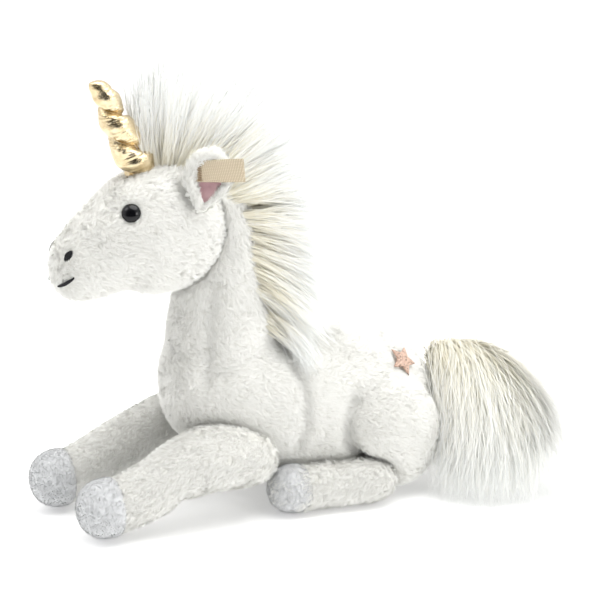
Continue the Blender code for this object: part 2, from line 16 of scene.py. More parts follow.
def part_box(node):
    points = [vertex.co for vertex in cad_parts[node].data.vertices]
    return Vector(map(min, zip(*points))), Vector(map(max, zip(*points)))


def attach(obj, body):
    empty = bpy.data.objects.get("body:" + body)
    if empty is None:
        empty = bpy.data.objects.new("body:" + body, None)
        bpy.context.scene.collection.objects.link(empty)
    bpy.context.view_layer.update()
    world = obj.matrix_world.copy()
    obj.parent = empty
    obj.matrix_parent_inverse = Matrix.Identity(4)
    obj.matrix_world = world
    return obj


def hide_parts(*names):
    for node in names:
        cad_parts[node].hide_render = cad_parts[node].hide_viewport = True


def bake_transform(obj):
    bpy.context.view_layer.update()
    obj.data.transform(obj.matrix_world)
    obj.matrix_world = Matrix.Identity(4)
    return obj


MM = 0.001
SEED = 20
INSET = 2.3            # the skin under the pile lies this far inside the cover's outer face
PILE = 2.3             # length of the body's pile
SIDES = (("left", 1.0), ("right", -1.0))

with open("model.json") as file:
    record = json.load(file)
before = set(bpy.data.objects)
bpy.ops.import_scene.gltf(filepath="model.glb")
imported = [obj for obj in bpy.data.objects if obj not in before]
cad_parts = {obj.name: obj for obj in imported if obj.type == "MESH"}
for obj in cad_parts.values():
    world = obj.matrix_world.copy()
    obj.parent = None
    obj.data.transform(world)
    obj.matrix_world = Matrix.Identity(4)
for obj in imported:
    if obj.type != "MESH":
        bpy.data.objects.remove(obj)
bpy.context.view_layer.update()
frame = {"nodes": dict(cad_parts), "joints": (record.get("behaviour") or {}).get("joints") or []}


# ------------------------------------------------------------------------------- camera and light

VIEW_AZIMUTH = 64.0
VIEW_HEIGHT = 15.0
VIEW_DISTANCE = 900.0
VIEW_TARGET = Vector((0.0, 0.0, 107.5))
VIEW_WIDTH = 330.0     # what the camera sees across at the target


def view_direction():
    azimuth, height = math.radians(VIEW_AZIMUTH), math.radians(VIEW_HEIGHT)
    level = math.cos(height)
    return Vector((math.sin(azimuth) * level, -math.cos(azimuth) * level, math.sin(height)))


def make_camera():
    camera = bpy.data.objects.new("camera", bpy.data.cameras.new("camera"))
    bpy.context.scene.collection.objects.link(camera)
    back = view_direction()
    camera.location = (VIEW_TARGET + back * VIEW_DISTANCE) * MM
    camera.rotation_euler = back.to_track_quat("Z", "Y").to_euler()
    camera.data.sensor_width = 36.0
    camera.data.lens = 36.0 * VIEW_DISTANCE / VIEW_WIDTH
    camera.data.clip_start = 0.01
    bpy.context.scene.camera = camera


def area_light(name, place, target, size, watts, colour=(1, 1, 1)):
    data = bpy.data.lights.new(name, "AREA")
    data.shape = "DISK"
    data.size = size
    data.energy = watts
    data.color = colour
    light = bpy.data.objects.new(name, data)
    light.location = place
    light.rotation_euler = (Vector(place) - Vector(target)).to_track_quat("Z", "Y").to_euler()
    bpy.context.scene.collection.objects.link(light)


def make_world():
    """A white tent round the toy, with a darker opening where the photographer stands."""
    world = bpy.data.worlds.new("white tent")
    world.use_nodes = True
    nodes, links = world.node_tree.nodes, world.node_tree.links
    coordinate = nodes.new("ShaderNodeTexCoord")
    toward = nodes.new("ShaderNodeVectorMath")
    toward.operation = "DOT_PRODUCT"
    toward.inputs[1].default_value = view_direction()
    links.new(coordinate.outputs["Generated"], toward.inputs[0])
    ramp = nodes.new("ShaderNodeValToRGB")
    ramp.color_ramp.elements[0].position = 0.52
    ramp.color_ramp.elements[0].color = (1.0, 1.0, 1.0, 1)
    ramp.color_ramp.elements[1].position = 0.84
    ramp.color_ramp.elements[1].color = (0.02, 0.02, 0.02, 1)
    links.new(toward.outputs["Value"], ramp.inputs[0])
    background = nodes["Background"]
    links.new(ramp.outputs[0], background.inputs["Color"])
    background.inputs["Strength"].default_value = 1.1
    bpy.context.scene.world = world


FLOOR_REACH = 6.0      # metres from the middle to each edge
FLOOR_DROP = -0.0004   # metres, so that the toy's lowest points don't fight with the floor
FLOOR_GLOW = 0.26      # the floor's own light, which lifts it to the white of the background


def make_stage():
    """A pale floor under soft studio lights: one overhead, one on each side."""
    mesh = bpy.data.meshes.new("floor")
    signs = ((-1, -1), (1, -1), (1, 1), (-1, 1))
    corners = [(x * FLOOR_REACH, y * FLOOR_REACH, FLOOR_DROP) for x, y in signs]
    mesh.from_pydata(corners, [], [(0, 1, 2, 3)])
    floor = bpy.data.objects.new("floor", mesh)
    bpy.context.scene.collection.objects.link(floor)
    white = plain_material("floor white", (0.93, 0.93, 0.93), 0.9)
    shader = white.node_tree.nodes["Principled BSDF"]
    shader.inputs["Emission Color"].default_value = (1, 1, 1, 1)
    shader.inputs["Emission Strength"].default_value = FLOOR_GLOW
    mesh.materials.append(white)
    make_world()
    area_light("top", (0.15, 0.15, 1.25), (0, 0, 0.1), 1.2, 12.0, (1.0, 0.997, 0.985))
    area_light("left fill", (-0.1, -0.95, 1.2), (0, -0.1, 0.12), 0.6, 2.6, (1.0, 1.0, 0.99))
    area_light("right fill", (1.2, 0.55, 0.55), (0, 0, 0.1), 0.6, 4.2, (1.0, 1.0, 0.99))
    bpy.context.scene.view_settings.view_transform = "Standard"


# ------------------------------------------------------------------------------- materials

def plain_material(name, colour, roughness, metallic=0.0, sheen=0.0, coat=0.0):
    material = bpy.data.materials.get(name)
    if material:
        return material
    material = bpy.data.materials.new(name)
    material.use_nodes = True
    shader = material.node_tree.nodes["Principled BSDF"]
    shader.inputs["Base Color"].default_value = (*colour, 1)
    shader.inputs["Roughness"].default_value = roughness
    shader.inputs["Metallic"].default_value = metallic
    shader.inputs["Sheen Weight"].default_value = sheen
    shader.inputs["Sheen Roughness"].default_value = 0.5
    shader.inputs["Coat Weight"].default_value = coat
    shader.inputs["Specular IOR Level"].default_value = 0.2 if metallic == 0 and coat == 0 else 0.5
    return material


def texture(nodes, links, kind, scale, detail=2.0):
    """A texture node on object coordinates, which are metres in the frame."""
    coordinate = nodes.get("object coordinates") or nodes.new("ShaderNodeTexCoord")
    coordinate.name = "object coordinates"
    node = nodes.new(kind)
    node.inputs["Scale"].default_value = scale
    if "Detail" in node.inputs:
        node.inputs["Detail"].default_value = detail
    links.new(coordinate.outputs["Object"], node.inputs["Vector"])
    return node


def mottled(material, colours, scale, bump_scale, bump_height, bump_kind="ShaderNodeTexNoise"):
    """Colour that wanders between two tones, over a fine bump."""
    nodes, links = material.node_tree.nodes, material.node_tree.links
    shader = nodes["Principled BSDF"]
    patches = texture(nodes, links, "ShaderNodeTexNoise", scale, 4.0)
    ramp = nodes.new("ShaderNodeValToRGB")
    ramp.color_ramp.elements[0].position = 0.35
    ramp.color_ramp.elements[0].color = (*colours[0], 1)
    ramp.color_ramp.elements[1].position = 0.68
    ramp.color_ramp.elements[1].color = (*colours[1], 1)
    links.new(patches.outputs[0], ramp.inputs[0])
    links.new(ramp.outputs[0], shader.inputs["Base Color"])
    fine = texture(nodes, links, bump_kind, bump_scale)
    bump = nodes.new("ShaderNodeBump")
    bump.inputs["Distance"].default_value = bump_height
    bump.inputs["Strength"].default_value = 0.8
    links.new(fine.outputs[0], bump.inputs["Height"])
    links.new(bump.outputs[0], shader.inputs["Normal"])
    return material


def backing_material():
    """The knitted backing that the pile stands on, seen only between tufts: its mottle is the knit's own
    tone, and its being a shade darker and warmer than the pile is painted shade for the gaps between tufts.
    """
    found = bpy.data.materials.get("pile backing")
    if found:
        return found
    # a shade darker and warmer than the pile tints: painted shade in the gaps between tufts
    material = plain_material("pile backing", (0.88, 0.88, 0.84), 1.0, sheen=0.2)
    return mottled(material, ((0.84, 0.835, 0.79), (0.92, 0.915, 0.88)), 180.0, 1500.0, 0.0003)


def velour_material():
    found = bpy.data.materials.get("hoof velour")
    if found:
        return found
    material = plain_material("hoof velour", (0.80, 0.81, 0.83), 0.95, sheen=0.55)
    return mottled(material, ((0.58, 0.59, 0.60), (0.75, 0.76, 0.77)), 300.0, 2600.0, 0.00025)


def pink_material():
    found = bpy.data.materials.get("ear velour")
    if found:
        return found
    material = plain_material("ear velour", (0.72, 0.45, 0.47), 0.95, sheen=0.4)
    return mottled(material, ((0.60, 0.36, 0.39), (0.74, 0.49, 0.51)), 150.0, 2400.0, 0.00025)


def gold_material():
    """Metallic cloth: fine creases over a soft weave."""
    found = bpy.data.materials.get("gold cloth")
    if found:
        return found
    material = plain_material("gold cloth", (0.80, 0.66, 0.42), 0.23, metallic=1.0)
    nodes, links = material.node_tree.nodes, material.node_tree.links
    shader = nodes["Principled BSDF"]
    tone = texture(nodes, links, "ShaderNodeTexNoise", 240.0, 5.0)
    ramp = nodes.new("ShaderNodeValToRGB")
    ramp.color_ramp.elements[0].position = 0.3
    ramp.color_ramp.elements[0].color = (0.60, 0.47, 0.27, 1)
    ramp.color_ramp.elements[1].position = 0.62
    ramp.color_ramp.elements[1].color = (0.82, 0.69, 0.47, 1)
    links.new(tone.outputs[0], ramp.inputs[0])
    links.new(ramp.outputs[0], shader.inputs["Base Color"])
    creases = texture(nodes, links, "ShaderNodeTexNoise", 520.0, 6.0)
    weave = texture(nodes, links, "ShaderNodeTexVoronoi", 2600.0)
    total = nodes.new("ShaderNodeMath")
    total.operation = "MULTIPLY_ADD"
    total.inputs[1].default_value = 0.12
    links.new(weave.outputs[0], total.inputs[0])
    links.new(creases.outputs[0], total.inputs[2])
    bump = nodes.new("ShaderNodeBump")
    bump.inputs["Distance"].default_value = 0.0006
    bump.inputs["Strength"].default_value = 0.55
    links.new(total.outputs[0], bump.inputs["Height"])
    links.new(bump.outputs[0], shader.inputs["Normal"])
    return material


def glitter_material():
    """Rose gold flakes: each cell of a Voronoi pattern takes its own colour, from near black to bright rose;
    the rose tone is the glitter's own, and the spread paints the flakes' glints and dark reflections.
    """
    material = plain_material("rose glitter", (0.62, 0.42, 0.34), 0.3, metallic=0.75)
    nodes, links = material.node_tree.nodes, material.node_tree.links
    shader = nodes["Principled BSDF"]
    flakes = texture(nodes, links, "ShaderNodeTexVoronoi", 850.0)
    # painted glints and dark reflections: flakes range from near-black to bright rose gold
    ramp = nodes.new("ShaderNodeValToRGB")
    ramp.color_ramp.elements[0].color = (0.03, 0.015, 0.01, 1)
    ramp.color_ramp.elements[1].color = (0.80, 0.57, 0.46, 1)
    ramp.color_ramp.elements[0].position = 0.35
    ramp.color_ramp.elements[1].position = 0.68
    links.new(flakes.outputs["Color"], ramp.inputs[0])
    links.new(ramp.outputs[0], shader.inputs["Base Color"])
    bump = nodes.new("ShaderNodeBump")
    bump.inputs["Distance"].default_value = 0.0008
    links.new(flakes.outputs["Distance"], bump.inputs["Height"])
    links.new(bump.outputs[0], shader.inputs["Normal"])
    return material


def washer_material():
    """Moulded nylon with a faint grain, behind each eye."""
    material = plain_material("moulded nylon", (0.85, 0.85, 0.82), 0.45)
    return mottled(material, ((0.78, 0.78, 0.75), (0.88, 0.88, 0.86)), 300.0, 2500.0, 0.0001)


def ribbon_material():
    """Plain woven ribbon: two crossed waves make the warp and weft."""
    material = plain_material("woven ribbon", (0.72, 0.64, 0.50), 0.75, sheen=0.2)
    nodes, links = material.node_tree.nodes, material.node_tree.links
    shader = nodes["Principled BSDF"]
    warp = texture(nodes, links, "ShaderNodeTexWave", 420.0)
    weft = texture(nodes, links, "ShaderNodeTexWave", 420.0)
    weft.bands_direction = "Z"
    both = nodes.new("ShaderNodeMath")
    both.operation = "MULTIPLY"
    links.new(warp.outputs[1], both.inputs[0])
    links.new(weft.outputs[1], both.inputs[1])
    ramp = nodes.new("ShaderNodeValToRGB")
    ramp.color_ramp.elements[0].color = (0.52, 0.43, 0.30, 1)
    ramp.color_ramp.elements[1].color = (0.80, 0.71, 0.56, 1)
    links.new(both.outputs[0], ramp.inputs[0])
    links.new(ramp.outputs[0], shader.inputs["Base Color"])
    bump = nodes.new("ShaderNodeBump")
    bump.inputs["Distance"].default_value = 0.0002
    links.new(both.outputs[0], bump.inputs["Height"])
    links.new(bump.outputs[0], shader.inputs["Normal"])
    return material


def pile_materials():
    """Tints of the white pile: painted shade, from the bright crown of a tuft to the darker edge between
    tufts, over a random spread of tone.
    """
    tints = ((0.97, 0.968, 0.935), (0.95, 0.948, 0.91), (0.92, 0.918, 0.875), (0.87, 0.866, 0.815))
    return [plain_material(f"pile {i}", tint, 1.0, sheen=0.25) for i, tint in enumerate(tints)]


def hair_materials():
    """Long fibre from root to tip: warm cream, ivory, then white with a cool cast; the darker cream at the
    roots is partly the fibre's warm tone and partly painted shade where the hair lies densest.
    """
    tints = ((0.86, 0.82, 0.68), (0.91, 0.89, 0.79), (0.925, 0.92, 0.87), (0.91, 0.925, 0.91))
    return [plain_material(f"fibre {i}", tint, 0.6, sheen=0.2) for i, tint in enumerate(tints)]


# ------------------------------------------------------------------------------- mesh helpers

def link(obj):
    bpy.context.scene.collection.objects.link(obj)
    return obj


def coords_of(obj):
    """Vertex coordinates in millimetres."""
    flat = np.empty(len(obj.data.vertices) * 3, np.float32)
    obj.data.vertices.foreach_get("co", flat)
    return flat.reshape(-1, 3).astype(float) / MM


def normals_of(obj):
    flat = np.empty(len(obj.data.vertices) * 3, np.float32)
    obj.data.vertices.foreach_get("normal", flat)
    return flat.reshape(-1, 3).astype(float)


def set_coords(obj, coords):
    obj.data.vertices.foreach_set("co", (coords * MM).astype(np.float32).ravel())
    obj.data.update()


def triangle_mesh(name, coords, triangles, materials, slots=None, normals=None):
    """A mesh from arrays in millimetres, one material slot a triangle, and its own shading normals."""
    mesh = bpy.data.meshes.new(name)
    mesh.vertices.add(len(coords))
    mesh.vertices.foreach_set("co", (coords * MM).astype(np.float32).ravel())
    mesh.loops.add(triangles.size)
    mesh.loops.foreach_set("vertex_index", triangles.astype(np.int32).ravel())
    mesh.polygons.add(len(triangles))
    mesh.polygons.foreach_set("loop_start", np.arange(0, triangles.size, 3, dtype=np.int32))
    for material in materials:
        mesh.materials.append(material)
    if slots is not None:
        mesh.polygons.foreach_set("material_index", slots.astype(np.int32))
    mesh.polygons.foreach_set("use_smooth", np.ones(len(triangles), bool))
    mesh.update(calc_edges=True)
    if normals is not None:
        mesh.normals_split_custom_set_from_vertices(normals.astype(np.float32))
    return link(bpy.data.objects.new(name, mesh))


def grid_mesh(name, points, material, around=True):
    """A skin over rows of points (rows, columns, 3) in millimetres; `around` closes each row."""
    rows, columns = points.shape[:2]
    faces = []
    last = columns if around else columns - 1
    for i in range(rows - 1):
        for j in range(last):
            k = (j + 1) % columns
            faces.append((i * columns + j, i * columns + k, (i + 1) * columns + k, (i + 1) * columns + j))
    mesh = bpy.data.meshes.new(name)
    mesh.from_pydata((points.reshape(-1, 3) * MM).tolist(), [], faces)
    mesh.materials.append(material)
    bm = bmesh.new()
    bm.from_mesh(mesh)
    if around:
        bmesh.ops.holes_fill(bm, edges=[e for e in bm.edges if e.is_boundary], sides=0)
    bmesh.ops.recalc_face_normals(bm, faces=bm.faces)
    bm.to_mesh(mesh)
    bm.free()
    mesh.shade_smooth()
    return link(bpy.data.objects.new(name, mesh))


def apply_modifiers(obj):
    graph = bpy.context.evaluated_depsgraph_get()
    graph.update()
    mesh = bpy.data.meshes.new_from_object(obj.evaluated_get(graph))
    obj.modifiers.clear()
    old, obj.data = obj.data, mesh
    bpy.data.meshes.remove(old)
    return obj


def join(name, objects):
    """One object holding copies of the meshes of several unparented objects, which go."""
    bm = bmesh.new()
    for obj in objects:
        bm.from_mesh(obj.data)
        bpy.data.objects.remove(obj, do_unlink=True)
    mesh = bpy.data.meshes.new(name)
    bm.to_mesh(mesh)
    bm.free()
    return link(bpy.data.objects.new(name, mesh))


def voxel_remesh(obj, size):
    modifier = obj.modifiers.new("remesh", "REMESH")
    modifier.mode = "VOXEL"
    modifier.voxel_size = size * MM
    return apply_modifiers(obj)


def smooth(obj, rounds, factor=0.5):
    modifier = obj.modifiers.new("smooth", "SMOOTH")
    modifier.iterations = rounds
    modifier.factor = factor
    return apply_modifiers(obj)


def subdivide(obj, levels=1):
    modifier = obj.modifiers.new("subdivide", "SUBSURF")
    modifier.levels = levels
    modifier.render_levels = levels
    return apply_modifiers(obj)


def grow(obj, distance):
    set_coords(obj, coords_of(obj) + normals_of(obj) * distance)
    return obj


def cad_copy(node):
    """A free copy of a CAD node's mesh."""
    mesh = frame["nodes"][node].data.copy()
    mesh.materials.clear()
    return link(bpy.data.objects.new("copy", mesh))


def puff(obj, cap, pressure=4.0, frames=20):
    """Blow the stuffed skin up with the cloth solver, and let no point move further than `cap`."""
    start = coords_of(obj)
    modifier = obj.modifiers.new("cloth", "CLOTH")
    settings = modifier.settings
    settings.quality = 4
    settings.mass = 0.3
    settings.use_pressure = True
    settings.uniform_pressure_force = pressure
    settings.effector_weights.gravity = 0.0
    modifier.point_cache.frame_start = 1
    modifier.point_cache.frame_end = frames
    scene = bpy.context.scene
    for step in range(1, frames + 1):
        scene.frame_set(step)
    apply_modifiers(obj)
    moved = coords_of(obj) - start
    length = np.linalg.norm(moved, axis=1, keepdims=True)
    set_coords(obj, start + moved * np.minimum(1.0, cap / np.maximum(length, 1e-6)))
    scene.frame_set(1)
    return obj


def stuffed_skin(name, nodes, voxel, gap, cap):
    """The sewn, stuffed shape under the pile: CAD stuffing joined across its gaps, rounded and puffed."""
    parts = []
    for node in nodes:
        part = voxel_remesh(cad_copy(node), voxel)
        parts.append(grow(part, gap))
    skin = voxel_remesh(join(name, parts), voxel)
    grow(smooth(skin, 4), -gap)
    puff(skin, cap)
    subdivide(smooth(skin, 2))
    skin.data.materials.append(backing_material())
    skin.data.shade_smooth()
    return skin


def press(obj, path, depth, width):
    """Draw a sewn crease into a skin along a path of points, which is first laid on the skin."""
    tree = tree_of(obj)
    path = np.array([tree.find_nearest(Vector(p) * MM)[0] / MM for p in path], float)
    coords = coords_of(obj)
    normals = normals_of(obj)
    nearest = np.full(len(coords), 1e9)
    for a, b in zip(path, path[1:]):
        t = np.clip(((coords - a) @ (b - a)) / max((b - a) @ (b - a), 1e-6), 0, 1)[:, None]
        nearest = np.minimum(nearest, np.linalg.norm(coords - (a + (b - a) * t), axis=1))
    set_coords(obj, coords - normals * (depth * np.exp(-(nearest / width) ** 2))[:, None])
    return obj


def tree_of(obj):
    bm = bmesh.new()
    bm.from_mesh(obj.data)
    tree = BVHTree.FromBMesh(bm)
    bm.free()
    return tree


def touch(tree, start, end):
    """Where a line meets a surface, and the normal there."""
    start, end = Vector(start), Vector(end)
    point, normal, _, _ = tree.ray_cast(start * MM, (end - start).normalized())
    if point is None:
        raise ValueError(f"nothing between {tuple(start)} and {tuple(end)}")
    return point / MM, normal


def seat(point, normal, up):
    """A frame whose z is the normal and whose y is near `up`."""
    z = Vector(normal).normalized()
    x = Vector(up).cross(z).normalized()
    return Matrix.Translation(point) @ Matrix((x, z.cross(x), z)).transposed().to_4x4()


def put(obj, matrix):
    """Move a mesh that was made at the origin to a frame given in millimetres."""
    moved = matrix.copy()
    moved.translation = matrix.translation * MM
    obj.data.transform(moved)
    obj.data.update()
    return obj


# ------------------------------------------------------------------------------- pile

def scatter(obj, density, rng):
    """Points over a mesh, so many to a square millimetre, with smooth normals."""
    mesh = obj.data
    mesh.calc_loop_triangles()
    index = np.empty(len(mesh.loop_triangles) * 3, np.int32)
    mesh.loop_triangles.foreach_get("vertices", index)
    index = index.reshape(-1, 3)
    coords, normals = coords_of(obj), normals_of(obj)
    corners = coords[index]
    area = np.linalg.norm(np.cross(corners[:, 1] - corners[:, 0], corners[:, 2] - corners[:, 0]), axis=1) / 2
    count = int(area.sum() * density)
    chosen = np.searchsorted(np.cumsum(area), rng.random(count) * area.sum())
    chosen = np.minimum(chosen, len(area) - 1)
    u, v = rng.random(count), rng.random(count)
    flip = u + v > 1
    u[flip], v[flip] = 1 - u[flip], 1 - v[flip]
    weights = np.stack([1 - u - v, u, v], 1)[:, :, None]
    points = (corners[chosen] * weights).sum(1)
    direction = (normals[index[chosen]] * weights).sum(1)
    return points, unit(direction)


def unit(vectors):
    return vectors / np.maximum(np.linalg.norm(vectors, axis=1, keepdims=True), 1e-9)


def gap_to(skin, points):
    """How far each point is from another skin's nearest vertex."""
    others = coords_of(skin)
    index = nearest_of(others, points)
    return np.linalg.norm(points - others[index], axis=1)


def wander(points, size, seed):
    """A smooth random vector at each point, which changes over about `size` millimetres."""
    offset = Vector((seed * 17.3, seed * 5.1, seed * 9.7))
    return np.array([noise.noise_vector(Vector(p) / size + offset) for p in points])


def nearest_of(seeds, points):
    tree = kdtree.KDTree(len(seeds))
    for i, seed in enumerate(seeds):
        tree.insert(seed, i)
    tree.balance()
    return np.array([tree.find(p)[1] for p in points])


def pile(name, skin, body, comb, density=7.0, length=PILE, lean=1.15, tuft=0.42, clear=(), width=0.27,
         beside=None):
    """Short fur: tapered blades that lean along `comb` and gather in tufts, kept off `clear` discs."""
    rng = np.random.default_rng(SEED + len(name))
    points, normals = scatter(skin, density, rng)
    keep = points[:, 2] > 0.9
    short = np.ones(len(points))
    for centre, radius in clear:
        away = np.linalg.norm(points - np.array(centre), axis=1)
        keep &= away > radius
        short *= np.clip((away - radius) / 3.0 + 0.35, 0.35, 1.0)
    if beside is not None:
        short *= 1 + 1.0 * np.clip(1.15 - gap_to(beside, points) / 7.0, 0, 1)
    points, normals, short = points[keep], normals[keep], short[keep]
    seeds, seed_normals = scatter(skin, tuft, rng)
    flow = wander(seeds, 12.0, 3)
    seed_comb = comb(seeds) * 0.8 + flow * 0.6 + rng.normal(0, 0.30, seeds.shape)
    seed_comb = unit(seed_comb - seed_normals * (seed_comb * seed_normals).sum(1, keepdims=True))
    seed_lean = lean * rng.uniform(0.82, 1.15, len(seeds))[:, None]
    seed_way = unit(seed_normals * np.cos(seed_lean) + seed_comb * np.sin(seed_lean))
    seed_tall = 1.0 + wander(seeds, 7.0, 8)[:, :1] * 0.25 + rng.normal(0, 0.08, (len(seeds), 1))
    near = nearest_of(seeds, points)
    offset = points - seeds[near]
    tall = length * seed_tall[near] * short[:, None] * rng.uniform(0.7, 1.15, (len(points), 1))
    way = unit(seed_way[near] + rng.normal(0, 0.15, points.shape))
    layer = rng.uniform(-0.15, 1.0, (len(points), 1)) * np.minimum(short, 1.2)[:, None]
    tips = points + normals * layer + way * tall - offset * 0.22
    tips[:, 2] = np.maximum(tips[:, 2], 0.15)
    way = unit(tips - points)
    across = unit(np.cross(way, normals)) + rng.normal(0, 0.2, points.shape)
    across = unit(across - way * (across * way).sum(1, keepdims=True))
    half = across * width / 2 * rng.uniform(0.7, 1.25, (len(points), 1))
    radius = np.linalg.norm(offset, axis=1)
    crown = 1.0 / math.sqrt(tuft * math.pi)
    shading = unit(normals + offset / crown * 0.16 + rng.normal(0, 0.05, points.shape))
    # painted shade: blades further from the middle of their tuft take darker tints, on top of a random spread
    # of tone
    tint = np.clip((radius / crown - 0.6) * 1.2 + rng.normal(0, 0.7, len(points)) + 0.7, 0, 3).astype(int)
    made = []
    pieces = math.ceil(len(points) / 180000)
    order = np.argsort(points[:, 1], kind="stable")
    for k, part in enumerate(np.array_split(order, pieces)):
        count = len(part)
        base = points[part] + normals[part] * layer[part]
        coords = np.concatenate([base - half[part], base + half[part], tips[part]])
        i = np.arange(count)
        triangles = np.stack([i, i + count, i + 2 * count], 1)
        fur = triangle_mesh(name if pieces == 1 else f"{name}_{k}", coords, triangles, pile_materials(),
                            tint[part], np.tile(shading[part], (3, 1)))
        if body:
            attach(fur, body)
        made.append(fur)
    return made


def combed(x, y, z):
    way = np.array([x, y, z], float)
    return lambda points: np.tile(way, (len(points), 1))


# ------------------------------------------------------------------------------- long hair

def bezier(p0, p1, p2, p3, t):
    t = t[None, :, None]
    p0, p1, p2, p3 = (p[:, None, :] for p in (p0, p1, p2, p3))
    return (1 - t) ** 3 * p0 + 3 * (1 - t) ** 2 * t * p1 + 3 * (1 - t) * t ** 2 * p2 + t ** 3 * p3


def hair(name, roots, exits, tips, body, rng, per_lock, spread, outward, width=0.25, steps=9, frizz=0.5,
         lock_wave=0.0, lift=0.35, floor=None, thin=0.12, shortest=0.55, cream=0.0):
    """Long fibre in locks: each lock leaves its root along `exits`, and its hairs end at odd lengths."""
    locks = len(roots)
    lock = np.repeat(np.arange(locks), per_lock)
    count = len(lock)
    reach = np.linalg.norm(tips - roots, axis=1)[lock][:, None]
    p0 = roots[lock] + rng.normal(0, spread, (count, 3))
    part = rng.normal(0, 1.0, (count, 3))
    stretch = rng.uniform(shortest, 1.04, (count, 1))
    p3 = roots[lock] + (tips - roots)[lock] * stretch + part * reach * 0.035
    stray = rng.random(count) < thin
    p3[stray] += rng.normal(0, 1.0, (int(stray.sum()), 3)) * reach[stray] * 0.10
    p1 = p0 + unit(exits[lock] + rng.normal(0, 0.12, (count, 3))) * reach * lift
    p2 = p3 + (p1 - p3) * 0.42 + part * reach * 0.04
    t = np.linspace(0, 1, steps)
    line = bezier(p0, p1, p2, p3, t)
    ease = (t[None, :, None] ** 1.1)
    own = rng.normal(0, 1, (count, 1, 3)) * np.sin(t * math.pi * 2.0)[None, :, None]
    turns = rng.uniform(1.6, 3.2, (locks, 1, 1))[lock]
    start = rng.uniform(0, 2 * math.pi, (locks, 1, 3))[lock]
    shared = np.sin(t[None, :, None] * turns * 2 * math.pi + start)
    shared = shared * rng.uniform(0.5, 1.3, (locks, 1, 1))[lock]
    line += (own * frizz + shared * lock_wave) * ease
    if floor is not None:
        line[:, :, 2] = np.maximum(line[:, :, 2], floor + rng.random((count, 1)) * 2.0)
    along = np.gradient(line, axis=1)
    along /= np.maximum(np.linalg.norm(along, axis=2, keepdims=True), 1e-9)
    out = outward(line.reshape(-1, 3)).reshape(line.shape) + rng.normal(0, 0.14, (locks, 1, 3))[lock]
    out = out + rng.normal(0, 0.08, (count, 1, 3))
    across = np.cross(along, out)
    across /= np.maximum(np.linalg.norm(across, axis=2, keepdims=True), 1e-9)
    taper = (1.0 - t ** 2.0 * 0.85)[None, :, None] * width / 2
    left, right = line - across * taper, line + across * taper
    coords = np.stack([left, right], 2).reshape(-1, 3)
    base = (np.arange(count) * steps * 2)[:, None] + (np.arange(steps - 1) * 2)[None, :]
    one = np.stack([base, base + 1, base + 3], 2)
    two = np.stack([base, base + 3, base + 2], 2)
    triangles = np.concatenate([one.reshape(-1, 3), two.reshape(-1, 3)])
    # tints by place along the hair: the darker cream near the root is partly painted shade of the dense hair
    # at its roots
    place = (t[:-1] + t[1:])[None, :] / 2 + rng.normal(0, 0.09, (count, 1))
    place = place + rng.normal(0, 0.08, (locks, 1))[lock] - cream
    tint = np.digitize(place, (0.14, 0.34, 0.62)).ravel()
    shading = unit(np.repeat(out.reshape(-1, 3), 2, axis=0))
    made = triangle_mesh(name, coords, triangles, hair_materials(), np.concatenate([tint, tint]), shading)
    if body:
        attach(made, body)
    return made


# ------------------------------------------------------------------------------- body, head and legs

def body_comb(points):
    """Down the neck and chest, back along the trunk."""
    neck = np.clip((points[:, 2] - 85.0) / 30.0, 0, 1)[:, None] * (points[:, 1] < -5)[:, None]
    return neck * np.array([0, 0.25, -1.0]) + (1 - neck) * np.array([0, 0.9, -0.45])


# Sewn creases on each side of the trunk: points on the left skin, depth and half width
TRUNK_CREASES = (
    (((34, -17, 84), (38, -14, 76), (38, -14, 62), (38, -14, 48), (34, -18, 34)), 3.4, 3.6),
    (((27, -30, 94), (30, -37, 91), (30, -47, 85), (30, -57, 82), (26, -68, 80)), 2.0, 4.5),
    (((23, -63, 128), (25, -67, 111), (26, -68, 95), (25, -68, 76)), 2.2, 5.0),
    (((36, 16, 58), (40, 11, 50), (42, 9, 42), (42, 9, 33), (41, 13, 25), (40, 22, 17)), 4.4, 3.6),
    (((36, 14, 60), (38, 5, 46), (37, -8, 33)), 1.2, 6.0),
)


def spread_haunches(skin):
    """The haunches lie on the floor, so below their middle they stay full instead of rounding away."""
    coords = coords_of(skin)
    low, high = (np.array(corner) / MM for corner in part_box("thigh_stuffing_left"))
    middle, half = (low + high) / 2, (high - low) / 2
    below = np.clip((middle[2] - coords[:, 2]) / half[2], 0, 0.96)
    fuller = np.minimum((1 - below ** 4) ** 0.25 / np.sqrt(1 - below ** 2), 2.1)
    along = np.clip(1.25 - np.abs(coords[:, 1] - middle[1]) / half[1], 0, 0.25) * 4
    outward = np.maximum(np.abs(coords[:, 0]) - middle[0], 0)
    coords[:, 0] += np.sign(coords[:, 0]) * outward * (fuller - 1) * along
    set_coords(skin, coords)


def make_trunk():
    nodes = ["trunk_stuffing", "thigh_stuffing_left", "thigh_stuffing_right"]
    skin = stuffed_skin("trunk_skin", nodes, 3.6, INSET + 0.2, 2.0)
    spread_haunches(skin)
    for _, side in SIDES:
        for points, depth, width in TRUNK_CREASES:
            press(skin, [(side * x, y, z) for x, y, z in points], depth, width)
    coords = coords_of(skin)
    away = coords - head_joint()
    distance = np.linalg.norm(away, axis=1, keepdims=True)
    near = np.clip(1.0 - (distance - HEAD_BALL - 1.0) / 9.0, 0, 1)
    set_coords(skin, coords - away / distance * near * np.clip(distance - HEAD_BALL - 0.9, 0, 3.2))
    settle(skin)
    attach(skin, "torso")
    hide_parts("trunk_cover", "trunk_stuffing", "thigh_cover_left", "thigh_stuffing_left",
                "thigh_cover_right", "thigh_stuffing_right", "mane_tape", "belly_panel")
    return skin


def head_comb(points):
    return np.stack([points[:, 0] * 0.01, np.full(len(points), 0.9), np.full(len(points), -0.35)], 1)


def head_joint():
    return np.array(next(j for j in frame["joints"] if j["name"] == "head_turn")["pos_m"]) / MM


